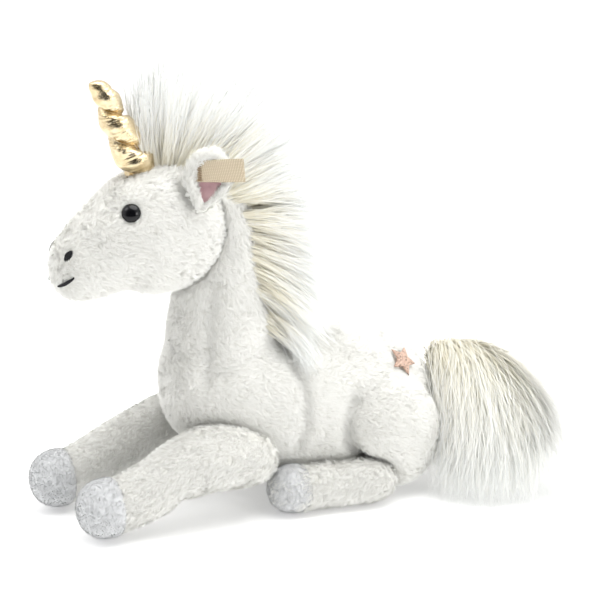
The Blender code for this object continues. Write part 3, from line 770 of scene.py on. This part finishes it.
def make_head():
    skin = stuffed_skin("head_skin", ["head_stuffing"], 3.4, 0.6, 2.5)
    grow(skin, 0.9)
    coords = coords_of(skin)
    joint = head_joint()
    away = coords - joint
    distance = np.linalg.norm(away, axis=1, keepdims=True)
    neck_way = unit(np.array([[0.0, 0.52, -0.85]]))
    inside = np.clip(((away / distance) @ neck_way.T - 0.25) * 3.0, 0, 1)
    target = joint + away / distance * (HEAD_BALL - 0.9)
    reaches = np.clip(1.5 - np.abs(distance - HEAD_BALL) / 6.0, 0, 1)
    set_coords(skin, coords + (target - coords) * inside * reaches)
    horn = next(j for j in frame["joints"] if j["name"] == "horn_bend")["pos_m"]
    root = Vector(horn) / MM
    press(skin, [root, root + Vector((0, -4.0, -1.0))], 3.0, 9.0)
    for _, side in SIDES:
        press(skin, [(side * 21.0, -104.5, 170.0), (side * 20.5, -104.0, 169.5)], 1.2, 5.0)
    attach(skin, "head")
    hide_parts("head_cover", "head_stuffing")
    return skin


def make_foreleg(label):
    nodes = [f"foreleg_upper_stuffing_{label}", f"foreleg_lower_stuffing_{label}"]
    skin = stuffed_skin(f"foreleg_skin_{label}", nodes, 3.6, 1.4, 2.0)
    low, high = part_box(f"foreleg_upper_cover_{label}")
    knee_y = low[1] / MM
    middle = (low[0] + high[0]) / 2 / MM
    fold = [(middle - 14, knee_y + 1, 15), (middle, knee_y + 2, 11), (middle + 14, knee_y + 1, 15)]
    press(skin, fold, 2.2, 5.0)
    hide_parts(*nodes, f"foreleg_upper_cover_{label}", f"foreleg_lower_cover_{label}")
    grow(skin, 0.7)
    settle(skin)
    fur = pile(f"foreleg_pile_{label}", skin, None, combed(0, -0.8, -0.35), length=2.0)
    for piece in (skin, *fur):
        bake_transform(piece)


def make_hind_leg(label):
    node = f"hind_shank_stuffing_{label}"
    skin = stuffed_skin(f"hind_leg_skin_{label}", [node], 3.2, 0.4, 1.5)
    grow(skin, 2.0)
    settle(skin)
    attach(skin, f"hind_leg_{label}")
    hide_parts(node, f"hind_shank_cover_{label}")
    pile(f"hind_leg_pile_{label}", skin, f"hind_leg_{label}", combed(0, -0.8, -0.3))


# ------------------------------------------------------------------------------- hooves

def make_hoof(name, node, body, toe_out):
    """A velour cap with a full round toe, a tucked seam where the pile begins, and a sewn dart in front."""
    low, high = (Vector(corner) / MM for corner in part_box(node))
    radius = (high.x - low.x) / 2
    centre = Vector(((low.x + high.x) / 2, low.y + radius, (low.z + high.z) / 2))
    back = high.y - centre.y + 2.5
    rows, columns = 30, 56
    points = np.zeros((rows, columns, 3))
    for i in range(rows):
        t = i / (rows - 1)
        if t < 0.7:
            angle = math.pi / 2 * (1 - t / 0.7)
            along, wide = -math.sin(angle) ** 0.92, math.cos(angle) ** 0.86
            y = radius * along
        else:
            u = (t - 0.7) / 0.3
            y, wide = back * u, 1.0 - 0.16 * u ** 3
        for j in range(columns):
            angle = 2 * math.pi * j / columns
            x, z = radius * wide * math.cos(angle), radius * wide * math.sin(angle)
            dart = math.exp(-(x / 0.9) ** 2) * max(0.0, min(1.0, (z / radius + 0.25) * 2.0)) if y < 0 else 0.0
            inward = 1.0 - 0.028 * dart
            tilt = toe_out * (y - back)
            height = max(centre.z + z * inward, low.z)
            points[i, j] = (centre.x + x * inward + tilt, centre.y + y * inward, height)
    cap = grid_mesh(name, points, velour_material())
    subdivide(cap)
    cap.data.shade_smooth()
    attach(cap, body)
    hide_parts(node)
    nap = velour_nap(name + "_nap", cap, body)
    stitches = hoof_stitches(name + "_dart", centre, radius, body, toe_out, back)
    return cap, nap, stitches


def velour_nap(name, cap, body):
    rng = np.random.default_rng(SEED + 5)
    points, normals = scatter(cap, 3.0, rng)
    way = unit(normals + rng.normal(0, 0.35, points.shape))
    tips = points + way * rng.uniform(0.35, 0.8, (len(points), 1))
    across = unit(np.cross(normals, rng.normal(0, 1, points.shape))) * 0.16
    count = len(points)
    coords = np.concatenate([points - across, points + across, tips])
    coords[:, 2] = np.maximum(coords[:, 2], 0.05)
    i = np.arange(count)
    triangles = np.stack([i, i + count, i + 2 * count], 1)
    tints = [plain_material(f"nap {k}", c, 1.0, sheen=0.5)
             for k, c in enumerate(((0.81, 0.82, 0.825), (0.71, 0.72, 0.725)))]
    nap = triangle_mesh(name, coords, triangles, tints, rng.integers(0, 2, count), np.tile(normals, (3, 1)))
    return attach(nap, body)


def hoof_stitches(name, centre, radius, body, toe_out, back):
    """Small stitches along the dart down the middle of the hoof's face."""
    thread = plain_material("hoof thread", (0.50, 0.51, 0.53), 0.8)
    parts = []
    for i in range(7):
        angle = math.radians(62 - 11.5 * i)
        y, z = -radius * math.cos(angle) ** 0.95, radius * math.sin(angle)
        spot = Vector((centre.x + toe_out * (y - back), centre.y + y * 1.0, centre.z + z))
        way = Vector((0, math.sin(angle), math.cos(angle)))
        parts.append(thread_bit(spot - way * 0.9, spot + way * 0.9, 0.22))
    made = join(name, parts)
    made.data.materials.append(thread)
    made.data.shade_smooth()
    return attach(made, body)


def thread_bit(start, end, radius, sides=6, belly=0.0):
    """One stitch: a short round thread with tapered ends."""
    start, end = Vector(start), Vector(end)
    way = (end - start).normalized()
    side = way.orthogonal().normalized()
    up = way.cross(side)
    rows = []
    for t, size in ((0.0, 0.25), (0.15, 0.8), (0.5, 1.0), (0.85, 0.8), (1.0, 0.25)):
        centre = start.lerp(end, t) + up * belly * math.sin(math.pi * t)
        rows.append([centre + (side * math.cos(a) + up * math.sin(a)) * radius * size
                     for a in (2 * math.pi * k / sides for k in range(sides))])
    grid = np.array([[tuple(p) for p in row] for row in rows])
    bit = grid_mesh("bit", grid, plain_material("thread", (0, 0, 0), 0.6))
    bit.data.materials.clear()
    return bit


# ------------------------------------------------------------------------------- horn

def horn_line(t):
    """The horn's middle line, in axes along it (away from the head), backwards, and to its left."""
    rise = math.sqrt(max(1 - (max(t - 0.85, 0.0) / 0.15) ** 2, 0.0))
    return (2.0 + 1.8 * math.exp(-((t - 0.85) / 0.15) ** 2)) * rise - 1.4 * (1 - t) ** 3


def horn_turn(t):
    """How many turns the thread has made at a share `t` of the horn, tight behind and long in front."""
    return float(np.interp(t, (0.0, 0.14, 0.22, 0.50, 0.60, 0.77, 0.86, 1.0),
                           (-0.35, 0.0, 0.5, 1.0, 1.5, 2.0, 2.5, 2.9)))


def horn_size(t):
    """The horn's radius, full at the bottom and blunt at the tip."""
    body = float(np.interp(t, (0.0, 0.04, 0.14, 0.32, 0.60, 0.85, 1.0), (6.4, 7.6, 8.4, 8.7, 7.2, 5.6, 3.4)))
    return body * math.sqrt(max(1 - (max(t - 0.93, 0.0) / 0.07) ** 2, 0.002))


def ear_rim(side):
    """The rolled edge: full in front, round over the top, thinner behind."""
    points, sizes = [], []
    for i in range(41):
        s = i / 40
        v = math.sin(math.pi * s) ** 0.75
        lean = -math.cos(math.pi * s)
        thick = 4.5 - 2.0 * s
        wide = max(ear_half_width(v * 0.999) - thick * 0.75, 0.3)
        v = v * (1 - thick * 0.6 / EAR_HEIGHT)
        x = lean / max(abs(lean), 1e-6) * wide if abs(lean) > 0.02 else 0.0
        points.append(Vector((side * x, EAR_HEIGHT * v, 3.2 + 1.2 * (1 - s))))
        sizes.append(thick * (0.50 + 0.50 * math.sin(math.pi * s) ** 0.7))
    return points, sizes


def make_horn():
    """Gold cloth wound tight by a thread, whose helical groove parts it into long soft lobes."""
    high = Vector(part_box("horn_cover")[1]) / MM
    low = Vector(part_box("horn_cover")[0]) / MM
    joint = next(j for j in frame["joints"] if j["name"] == "horn_bend")
    base = Vector(joint["pos_m"]) / MM
    base.y += 0.4
    base.z -= 5.0
    tip = Vector((0.0, low.y + 3.4, high.z - 4.2))
    axis = tip - base
    length, axis = axis.length, axis.normalized()
    toward = view_direction()
    front = (toward - axis * toward.dot(axis)).normalized()
    back = axis.cross(front)
    rows, columns = 170, 104
    points = np.zeros((rows, columns, 3))
    thread = []
    for i in range(rows):
        t = i / (rows - 1)
        centre = base + axis * (t * (length + 5.0) - 5.0) + Vector((0, 0.88, 0.48)) * horn_line(t)
        alpha = math.pi + 2 * math.pi * horn_turn(t)
        size = horn_size(t)
        centre -= (back * math.cos(alpha) + front * math.sin(alpha)) * size * 0.10
        gather = 0.07 * math.exp(-(t / 0.05) ** 2)
        fade = min(max((0.88 - t) / 0.08, 0.12), 1.0)
        for j in range(columns):
            angle = 2 * math.pi * j / columns
            turn = (angle - alpha + math.pi) % (2 * math.pi) - math.pi
            groove = math.exp(-(turn / 0.42) ** 2) * fade
            near = math.exp(-(turn / 1.25) ** 2) * fade
            wrinkle = noise.noise(Vector((turn * 1.4, t * 52.0, 1.5)))
            fold = abs(noise.noise(Vector((turn * 0.9 + 7.0, t * 88.0, 4.0))))
            radius = size * (1.06 - 0.34 * groove + 0.10 * near * (1 - groove) * wrinkle - 0.07 * near * fold)
            radius *= 1 + gather * math.cos(11 * angle + 2.0 * math.sin(3 * angle))
            points[i, j] = centre + (back * math.cos(angle) + front * math.sin(angle)) * radius
        if 0.05 < t < 0.82:
            thread.append(centre + (back * math.cos(alpha) + front * math.sin(alpha)) * size * 0.73)
    horn = grid_mesh("gold_horn", points, gold_material())
    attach(horn, "horn")
    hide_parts("horn_cover", "horn_stuffing")
    gold_thread = plain_material("gold thread", (0.50, 0.34, 0.14), 0.5, 0.6)
    make_tube("horn_thread", thread, 0.22, gold_thread, "horn")


def make_tube(name, path, radius, material, body, sides=8):
    rows = []
    for i, point in enumerate(path):
        way = (path[min(i + 1, len(path) - 1)] - path[max(i - 1, 0)]).normalized()
        across = way.orthogonal().normalized()
        up = way.cross(across)
        rows.append([tuple(point + (across * math.cos(a) + up * math.sin(a)) * radius)
                     for a in (2 * math.pi * k / sides for k in range(sides))])
    tube = grid_mesh(name, np.array(rows), material)
    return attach(tube, body)


# ------------------------------------------------------------------------------- face

def dome(name, radius, height, material, columns=48, rows=20):
    """A moulded eye: a low dome that rolls under at its rim to a flat back."""
    points = np.zeros((rows, columns, 3))
    for i in range(rows):
        t = i / (rows - 1)
        if t < 0.25:
            angle = t / 0.25 * math.pi / 2
            wide = 0.80 + 0.2 * math.sin(angle)
            z = -0.35 + 0.35 * (1 - math.cos(angle))
        else:
            angle = (t - 0.25) / 0.75 * math.pi / 2
            wide = max(math.cos(angle), 0.012)
            z = height * math.sin(angle)
        for j in range(columns):
            angle = 2 * math.pi * j / columns
            points[i, j] = (radius * wide * math.cos(angle), radius * wide * math.sin(angle), z)
    return grid_mesh(name, points, material)


def eye_seat(tree, side):
    return touch(tree, (side * 60.0, -118.0, 186.0), (side * 20.0, -104.0, 169.4))


def nostril_seat(tree, side):
    return touch(tree, (side * 50.0, -158.0, 166.0), (side * 12.6, -134.6, 149.0))


def make_eyes(tree):
    black = plain_material("eye black", (0.004, 0.004, 0.005), 0.09)
    black.node_tree.nodes["Principled BSDF"].inputs["Specular IOR Level"].default_value = 0.32
    for label, side in SIDES:
        point, normal = eye_seat(tree, side)
        eye = dome("eye_dome_" + label, 4.9, 3.1, black)
        put(eye, seat(point + normal * 1.7, normal, (0, 0, 1)))
        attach(eye, "head")
        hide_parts("eye_" + label)


def make_washers():
    """The locking washers stay as CAD shapes, with a finer material."""
    for label, _ in SIDES:
        washer = frame["nodes"]["eye_washer_" + label]
        washer.data.materials.clear()
        washer.data.materials.append(washer_material())


def satin(name, tree_seat, outline, body, node, thread_width=0.3):
    """Satin stitch: threads side by side across an outline of (along, half height)."""
    parts = []
    for along, half in outline:
        parts.append(thread_bit((along, -half, 0.15), (along, half, 0.15), thread_width, belly=-0.35))
    made = join(name, parts)
    made.data.materials.append(plain_material("black thread", (0.010, 0.010, 0.012), 0.5, sheen=0.1))
    made.data.shade_smooth()
    put(made, tree_seat)
    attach(made, body)
    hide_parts(node)


def make_face_stitches(tree):
    black = plain_material("black thread", (0.010, 0.010, 0.012), 0.5, sheen=0.1)
    for label, side in SIDES:
        point, normal = nostril_seat(tree, side)
        where = seat(point + normal * 2.2, normal, (side * 0.1, 0.75, 0.85))
        outline = []
        for i in range(8):
            across = (i - 3.5) / 3.9
            outline.append((1.75 * across, 3.6 * math.sqrt(1 - across ** 2)))
        satin("nostril_thread_" + label, where, outline, "head", "nostril_stitch_" + label)
        line = []
        for i in range(11):
            t = i / 10
            target = Vector((side * (7.6 + 6.4 * t), -139.6 + 6.4 * t, 133.4 + 5.0 * t - 2.6 * t * (1 - t)))
            point, normal = touch(tree, target + Vector((side * 30.0, -40.0, 0.0)), target)
            line.append(point + normal * 2.0)
        parts = []
        for i in range(10):
            rise = Vector((0, 0, 0.75 * math.sin(math.pi * (i + 0.7) / 11.0)))
            after = line[i + 1] + (line[i + 1] - line[i]) * 0.3
            for share in (-1.0, -0.35, 0.35, 1.0):
                parts.append(thread_bit(line[i] + rise * share, after + rise * share * 0.8, 0.42))
        made = join("mouth_thread_" + label, parts)
        made.data.materials.append(black)
        made.data.shade_smooth()
        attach(made, "head")
        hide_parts("mouth_stitch_" + label)


# ------------------------------------------------------------------------------- ears and label

def ear_seat(side):
    return seat(Vector((side * 27.5, -69.2, 169.5)), (side * 0.80, -0.58, 0.16), (side * 0.10, 0.22, 1.0))


EAR_HEIGHT = 31.0


def ear_half_width(v):
    """A leaf: narrow root, widest past the middle, round top."""
    if v < 0.6:
        return 2.6 + 9.4 * math.sin(math.pi / 2 * v / 0.6) ** 1.25
    return 12.0 * math.sqrt(max(1 - ((v - 0.6) / 0.4) ** 2, 0.0))


def ear_point(u, v, depth, side):
    """A point of the cupped ear: u from -1 at its front edge to 1 at its rear, v up, depth behind it."""
    curl = 3.0 * u * u * (0.5 + 0.5 * math.sin(math.pi * min(v, 1.0)))
    return (side * u * ear_half_width(v), EAR_HEIGHT * v, 1.5 + curl - depth)


def make_ear(label, side):
    """Plush outside, rolled over at its rim, with pink velour inside."""
    where = ear_seat(side)
    rows, columns = 20, 15
    loops = []
    for i in range(rows):
        v = 0.97 * i / (rows - 1)
        front = [ear_point(-1 + 2 * j / (columns - 1), v, 0.0, side) for j in range(columns)]
        behind = [ear_point(1 - 2 * j / (columns - 1), v, 3.0, side) for j in range(columns)]
        loops.append(front + behind)
    leaf = grid_mesh("ear_leaf", np.array(loops), backing_material())
    points, sizes = ear_rim(side)
    rings = []
    for k, (point, size) in enumerate(zip(points, sizes)):
        way = (points[min(k + 1, 40)] - points[max(k - 1, 0)]).normalized()
        across = Vector((0, 0, 1)).cross(way).normalized()
        rings.append([tuple(point + (across * math.cos(a) + Vector((0, 0, 1)) * math.sin(a)) * size)
                      for a in (2 * math.pi * n / 14 for n in range(14))])
    rim = grid_mesh("ear_rim", np.array(rings), backing_material())
    shell = smooth(voxel_remesh(join("ear_shell_" + label, [leaf, rim]), 1.0), 3)
    shell.data.materials.clear()
    shell.data.materials.append(backing_material())
    put(shell, where)
    shell.data.shade_smooth()
    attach(shell, "ear_" + label)
    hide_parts("ear_back_" + label)
    rises = (0.06, 0.20, 0.32, 0.44, 0.56, 0.68, 0.78)
    face = [where @ Vector(ear_point(0.12, v, -0.5, side)) for v in rises]
    clear = [(tuple(p), r) for p, r in zip(face, (1.8, 2.6, 3.4, 4.0, 4.4, 4.4, 3.2))]
    pile("ear_pile_" + label, shell, "ear_" + label, combed(side * 0.2, 0.3, 0.8), density=8.0, length=2.3,
         clear=clear)
    front = []
    for i in range(18):
        v = 0.0 + 0.85 * i / 17
        left, right = -0.46, 0.66
        front.append([ear_point(left + (right - left) * j / 12, v, -0.9, side) for j in range(13)])
    lining = grid_mesh("ear_velour_" + label, np.array(front), pink_material(), around=False)
    put(lining, where)
    solid = lining.modifiers.new("cloth", "SOLIDIFY")
    solid.thickness = 0.7 * MM
    solid.offset = -1.0
    apply_modifiers(lining)
    subdivide(lining)
    lining.data.shade_smooth()
    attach(lining, "ear_" + label)
    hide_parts("ear_lining_" + label)


def make_label():
    """A blank folded ribbon sewn to the ear: two layers, a fold at the free end, a tack at the ear."""
    lie = Matrix.Translation((-5.6, 12.8, 5.4)) @ Matrix.Rotation(math.radians(16.5), 4, "Z")
    where = ear_seat(1.0) @ lie @ Matrix.Rotation(math.radians(-7.0), 4, "Y")
    rows, columns = 34, 12
    loops = []
    length, height = 28.0, 11.8
    for i in range(rows):
        path = 2 * i / (rows - 1)
        out = path if path <= 1 else 2 - path
        lift = 0.5 * (1 if path <= 1 else -1) * math.sqrt(max(1 - out ** 8, 0.0))
        bow = 1.0 * math.sin(math.pi * out)
        row = []
        for j in range(columns):
            s = j / (columns - 1)
            pinch = 1.0 - 0.10 * (1 - out) ** 2
            x = length * out + 1.6 * s * (1 - 1.4 * out)
            ripple = 0.3 * math.sin(2.5 * s + 4.0 * out)
            row.append((x, (s - 0.5) * height * pinch + height / 2, bow + lift + ripple))
        loops.append(row)
    ribbon = grid_mesh("ribbon_label", np.array(loops), ribbon_material(), around=False)
    put(ribbon, where)
    solid = ribbon.modifiers.new("cloth", "SOLIDIFY")
    solid.thickness = 0.28 * MM
    apply_modifiers(ribbon)
    subdivide(ribbon)
    ribbon.data.shade_smooth()
    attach(ribbon, "label")
    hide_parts("ear_label")
    parts = []
    for i in range(10):
        y = 1.6 + 0.9 * i
        parts.append(thread_bit((2.2, y, 1.35), (4.6, y + 0.45, 1.45), 0.24))
    for y in (1.2, 10.4):
        parts.append(thread_bit((2.0, y, 1.35), (4.9, y, 1.5), 0.3))
    tack = join("label_stitches", parts)
    tack.data.materials.append(plain_material("tack brown", (0.34, 0.24, 0.15), 0.8))
    tack.data.shade_smooth()
    put(tack, where)
    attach(tack, "label")
    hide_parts("label_tack")


# ------------------------------------------------------------------------------- star

def star_seat(tree):
    return touch(tree, (70.0, 66.0, 118.0), (26.5, 51.5, 74.5))


def make_star(tree):
    """A glitter star with a bevelled edge, sewn on the left of the rump over flattened pile."""
    point, normal = star_seat(tree)
    where = seat(point + normal * 2.4, normal, (0.0, -0.55, 1.0))
    corners = []
    for i in range(10):
        radius = 9.3 if i % 2 == 0 else 4.5
        angle = math.pi / 2 + math.pi * i / 5
        corners.append(Vector((radius * math.cos(angle), radius * math.sin(angle), 0)))
    bm = bmesh.new()
    face = bm.faces.new([bm.verts.new(c) for c in corners])
    made = bmesh.ops.extrude_face_region(bm, geom=[face])
    top = [v for v in made["geom"] if isinstance(v, bmesh.types.BMVert)]
    bmesh.ops.translate(bm, vec=(0, 0, 0.9), verts=top)
    bmesh.ops.recalc_face_normals(bm, faces=bm.faces)
    bmesh.ops.bevel(bm, geom=[e for e in bm.edges], offset=0.25, segments=2, affect="EDGES")
    bmesh.ops.triangulate(bm, faces=bm.faces)
    long_edges = [e for e in bm.edges if e.calc_length() > 1.6]
    bmesh.ops.subdivide_edges(bm, edges=long_edges, cuts=2, use_grid_fill=True)
    for vert in bm.verts:
        vert.co.z -= 0.011 * (vert.co.x ** 2 + vert.co.y ** 2)
    bmesh.ops.scale(bm, vec=(MM, MM, MM), verts=bm.verts)
    mesh = bpy.data.meshes.new("glitter_star")
    bm.to_mesh(mesh)
    bm.free()
    mesh.materials.append(glitter_material())
    star = link(bpy.data.objects.new("glitter_star", mesh))
    put(star, where)
    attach(star, "torso")
    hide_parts("star_patch")


# ------------------------------------------------------------------------------- mane and tail

HEAD_BALL = 36.0       # the head turns in the neck's socket as a ball of this radius

# Rows down the mane: root y and z on the crest, then tip y and z, and how far the tip hangs to its own side
MANE_ROWS = (
    (-92.0, 191.0, -97.0, 234.0, 6.0), (-84.0, 195.0, -82.0, 248.0, 5.0), (-76.0, 196.0, -62.0, 249.0, 5.0),
    (-68.0, 194.0, -37.0, 243.0, 6.0), (-59.0, 191.0, -17.0, 236.0, 8.0), (-50.0, 187.0, 0.0, 218.0, 9.0),
    (-42.0, 181.0, 9.0, 197.0, 9.0), (-35.0, 172.0, 16.0, 171.0, 10.0), (-29.0, 161.0, 19.0, 144.0, 12.0),
    (-25.0, 149.0, 19.0, 118.0, 14.0), (-22.5, 137.0, 14.0, 100.0, 20.0), (-21.0, 125.0, 3.0, 88.0, 28.0),
    (-19.0, 113.0, -6.0, 79.0, 34.0), (-14.0, 102.0, -10.0, 72.0, 38.0),
)
MANE_BOX = ((-60.0, 60.0), (-150.0, 40.0), (60.0, 259.0))
MANE_SPLIT = 0.36      # hair before this share of the strip is sewn to the head, the rest to the neck


def mane_locks(tree, count, start, stop, rng):
    """Roots on the strip, and for each lock the way it leaves and where it ends."""
    rows = np.array(MANE_ROWS)
    grid = np.linspace(0, 1, len(rows))
    roots, exits, tips = [], [], []
    for _ in range(count):
        s, u = rng.uniform(start, stop), rng.uniform(-1, 1)
        wide = math.radians(np.interp(s, (0.0, 0.3, 0.45, 0.75, 1.0), (20, 26, 48, 68, 76)))
        point, normal = crest_seat(tree, s, u * wide)
        side = math.copysign(1, point.x)
        tip = [np.interp(s, grid, rows[:, k]) for k in (2, 3, 4)]
        share = rng.uniform(0.82, 1.06) * (1 - 0.08 * u * u)
        target = Vector((side * tip[2] * rng.uniform(0.2, 1.0), tip[0], tip[1]))
        target.x += point.x * (0.9 - 0.4 * s)
        tip = point + (target - point) * share
        flow = (tip - point).normalized()
        fall = min(max((s - 0.3) * 3, 0), 1)
        leave = (normal * (0.75 - 0.1 * fall) + flow * (0.7 + 0.5 * fall)).normalized()
        roots.append(tuple(point - normal * 0.3))
        exits.append(tuple(leave))
        tips.append(tuple(tip))
    tips = np.array(tips) + rng.normal(0, 2.6, (count, 3))
    return np.array(roots), np.array(exits), tips


def make_mane(head_tree, trunk_tree):
    rng = np.random.default_rng(SEED + 1)
    roots, exits, tips = mane_locks(head_tree, 210, 0.0, MANE_SPLIT, rng)
    top = hair("forelock", roots, exits, tips, "head", rng, 28, 0.9, mane_outward, shortest=0.42, thin=0.2)
    settle_inside(top, MANE_BOX)
    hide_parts("forelock_hair")
    roots, exits, tips = mane_locks(trunk_tree, 440, MANE_SPLIT, 1.0, rng)
    neck = hair("mane", roots, exits, tips, "torso", rng, 27, 0.9, mane_outward, shortest=0.5, thin=0.14)
    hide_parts("mane_hair")


# Where the tail's locks end: x, y, z round the fan, from beside the haunch to behind the rump
TAIL_TIPS = ((58.0, 56.0, 1.0), (68.0, 63.0, 0.8), (78.0, 73.0, 0.8), (85.0, 86.0, 0.8), (87.0, 100.0, 1.0),
             (87.0, 116.0, 4.0), (86.0, 130.0, 11.0), (84.0, 139.0, 20.0), (80.0, 145.0, 30.0))
TAIL_BOX = ((-40.0, 86.0), (40.0, 154.0), (0.3, 90.0))


def make_tail():
    rng = np.random.default_rng(SEED + 2)
    tips_row = np.array(TAIL_TIPS)
    grid = np.linspace(0, 1, len(tips_row))
    for index, (count, shrink_low, shrink_high) in enumerate(((350, 0.90, 1.05), (270, 0.42, 0.90))):
        s = rng.random(count)
        target = np.stack([np.interp(s, grid, tips_row[:, k]) for k in range(3)], 1)
        angle = rng.uniform(0, 2 * math.pi, count)
        along = rng.uniform(0, 1, count)
        ring = 5.5 * (1 - 0.4 * along)
        height = 61.0 + ring * np.sin(angle)
        roots = np.stack([ring * np.cos(angle) + 1.5 * along, 84.0 + 11.0 * along, height], 1)
        shrink = rng.uniform(shrink_low, shrink_high, (count, 1))
        tips = roots + (target - roots) * shrink + rng.normal(0, 4.2, roots.shape)
        tips[:, 2] = np.maximum(tips[:, 2], 1.0)
        out = unit(target - np.array([0, 84.0, 62.0]))
        exits = np.stack([out[:, 0] * (0.6 + 0.3 * s) + 0.2 * np.cos(angle), 0.40 + out[:, 1] * 0.75,
                          0.20 + 0.16 * s + 0.20 * np.sin(angle)], 1)
        exits[:, 1] *= np.clip(s * 2.4, 0.25, 1.0)
        piece = hair(f"tail_locks_{index}", roots, exits, tips, "tail", rng, 23, 1.0, tail_outward, steps=13,
                     frizz=0.9, lock_wave=3.0, lift=0.40, floor=0.4, width=0.29, shortest=0.66, cream=0.20)
        settle_inside(piece, TAIL_BOX)
    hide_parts("tail_hair", "tail_core", "tail_thread")


# ------------------------------------------------------------------------------- assembly

def settle(obj, lowest=0.4):
    """Flatten what would go through the floor."""
    coords = coords_of(obj)
    coords[:, 2] = np.maximum(coords[:, 2], lowest)
    set_coords(obj, coords)
    return obj


def make_throat():
    """The thread that draws the neck closed round the head, deep in the pile of the fold."""
    ring = voxel_remesh(cad_copy("throat_thread"), 0.5)
    smooth(ring, 3)
    ring.name = "throat_stitching"
    ring.data.materials.append(plain_material("white thread", (0.86, 0.86, 0.82), 0.8, sheen=0.2))
    ring.data.shade_smooth()
    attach(ring, "throat")
    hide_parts("throat_thread")


def crest_seat(tree, s, angle):
    """A place on the mane's strip: `s` from 0 at the forelock to 1 at the withers, `angle` round the neck."""
    rows = np.array(MANE_ROWS)
    grid = np.linspace(0, 1, len(rows))
    y, z = np.interp(s, grid, rows[:, 0]), np.interp(s, grid, rows[:, 1])
    ahead = min(s + 0.05, 1.0)
    behind = max(s - 0.05, 0.0)
    way = Vector((0, np.interp(ahead, grid, rows[:, 0]) - np.interp(behind, grid, rows[:, 0]),
                  np.interp(ahead, grid, rows[:, 1]) - np.interp(behind, grid, rows[:, 1]))).normalized()
    inward = Vector((0, way.z, -way.y))
    centre = Vector((0, y, z)) + inward * 22.0
    out = Matrix.Rotation(angle, 3, way) @ -inward
    point, normal, _, _ = tree.ray_cast((centre + out * 60.0) * MM, -out)
    if point is None:
        point, normal, _, _ = tree.find_nearest((centre + out * 22.0) * MM)
    return point / MM, normal


def mane_outward(points):
    """Away from the mane's middle: to the side it hangs on, and a little up and back."""
    side = np.sign(points[:, 0] + 1e-6) * (10.0 + np.abs(points[:, 0])) * 3.0
    back = (points[:, 1] + 52.0) * 0.5
    up = np.clip(points[:, 2] - 175.0, -4.0, 60.0) * 0.8 + 14.0
    return unit(np.stack([side, back, up], 1))


def tail_outward(points):
    """Away from the middle line that the tail falls along."""
    t = np.clip((np.linalg.norm(points - np.array([0, 86.0, 61.0]), axis=1) / 95.0), 0, 1)[:, None]
    middle = np.array([0, 92.0, 52.0]) * (1 - t) + np.array([58.0, 92.0, -4.0]) * t
    return unit((points - middle) * np.array([1.0, 1.0, 1.15]))


def settle_inside(obj, box):
    """Draw points past a box's faces back towards it, so that stray ends stay near their shape."""
    coords = coords_of(obj)
    for axis, (low, high) in enumerate(box):
        over = coords[:, axis] - high
        coords[:, axis] = np.where(over > 0, high + over * 0.12, coords[:, axis])
        under = low - coords[:, axis]
        coords[:, axis] = np.where(under > 0, low - under * 0.12, coords[:, axis])
    custom = np.array([tuple(n.vector) for n in obj.data.corner_normals])
    obj.data.vertices.foreach_set("co", (coords * MM).astype(np.float32).ravel())
    obj.data.normals_split_custom_set(custom)
    obj.data.update()


def build():
    make_camera()
    make_stage()
    trunk = make_trunk()
    head = make_head()
    trunk_tree, head_tree = tree_of(trunk), tree_of(head)
    star_point, _ = star_seat(trunk_tree)
    pile("trunk_pile", trunk, "torso", body_comb, clear=[(tuple(star_point), 5.6)], beside=head)
    spots = []
    for _, side in SIDES:
        spots.append((tuple(eye_seat(head_tree, side)[0]), 3.9))
        spots.append((tuple(nostril_seat(head_tree, side)[0]), 2.3))
    pile("head_pile", head, "head", head_comb, clear=spots, density=7.0, length=2.4, beside=trunk)
    for label, side in SIDES:
        make_foreleg(label)
        make_hind_leg(label)
        make_hoof("fore_hoof_cap_" + label, "fore_hoof_" + label, "foreleg_lower_" + label, side * 0.02)
        make_hoof("hind_hoof_cap_" + label, "hind_hoof_" + label, "hind_leg_" + label, side * 0.05)
        make_ear(label, side)
    make_eyes(head_tree)
    make_washers()
    make_face_stitches(head_tree)
    make_horn()
    make_label()
    make_star(trunk_tree)
    make_mane(head_tree, trunk_tree)
    make_tail()
    make_throat()


build()
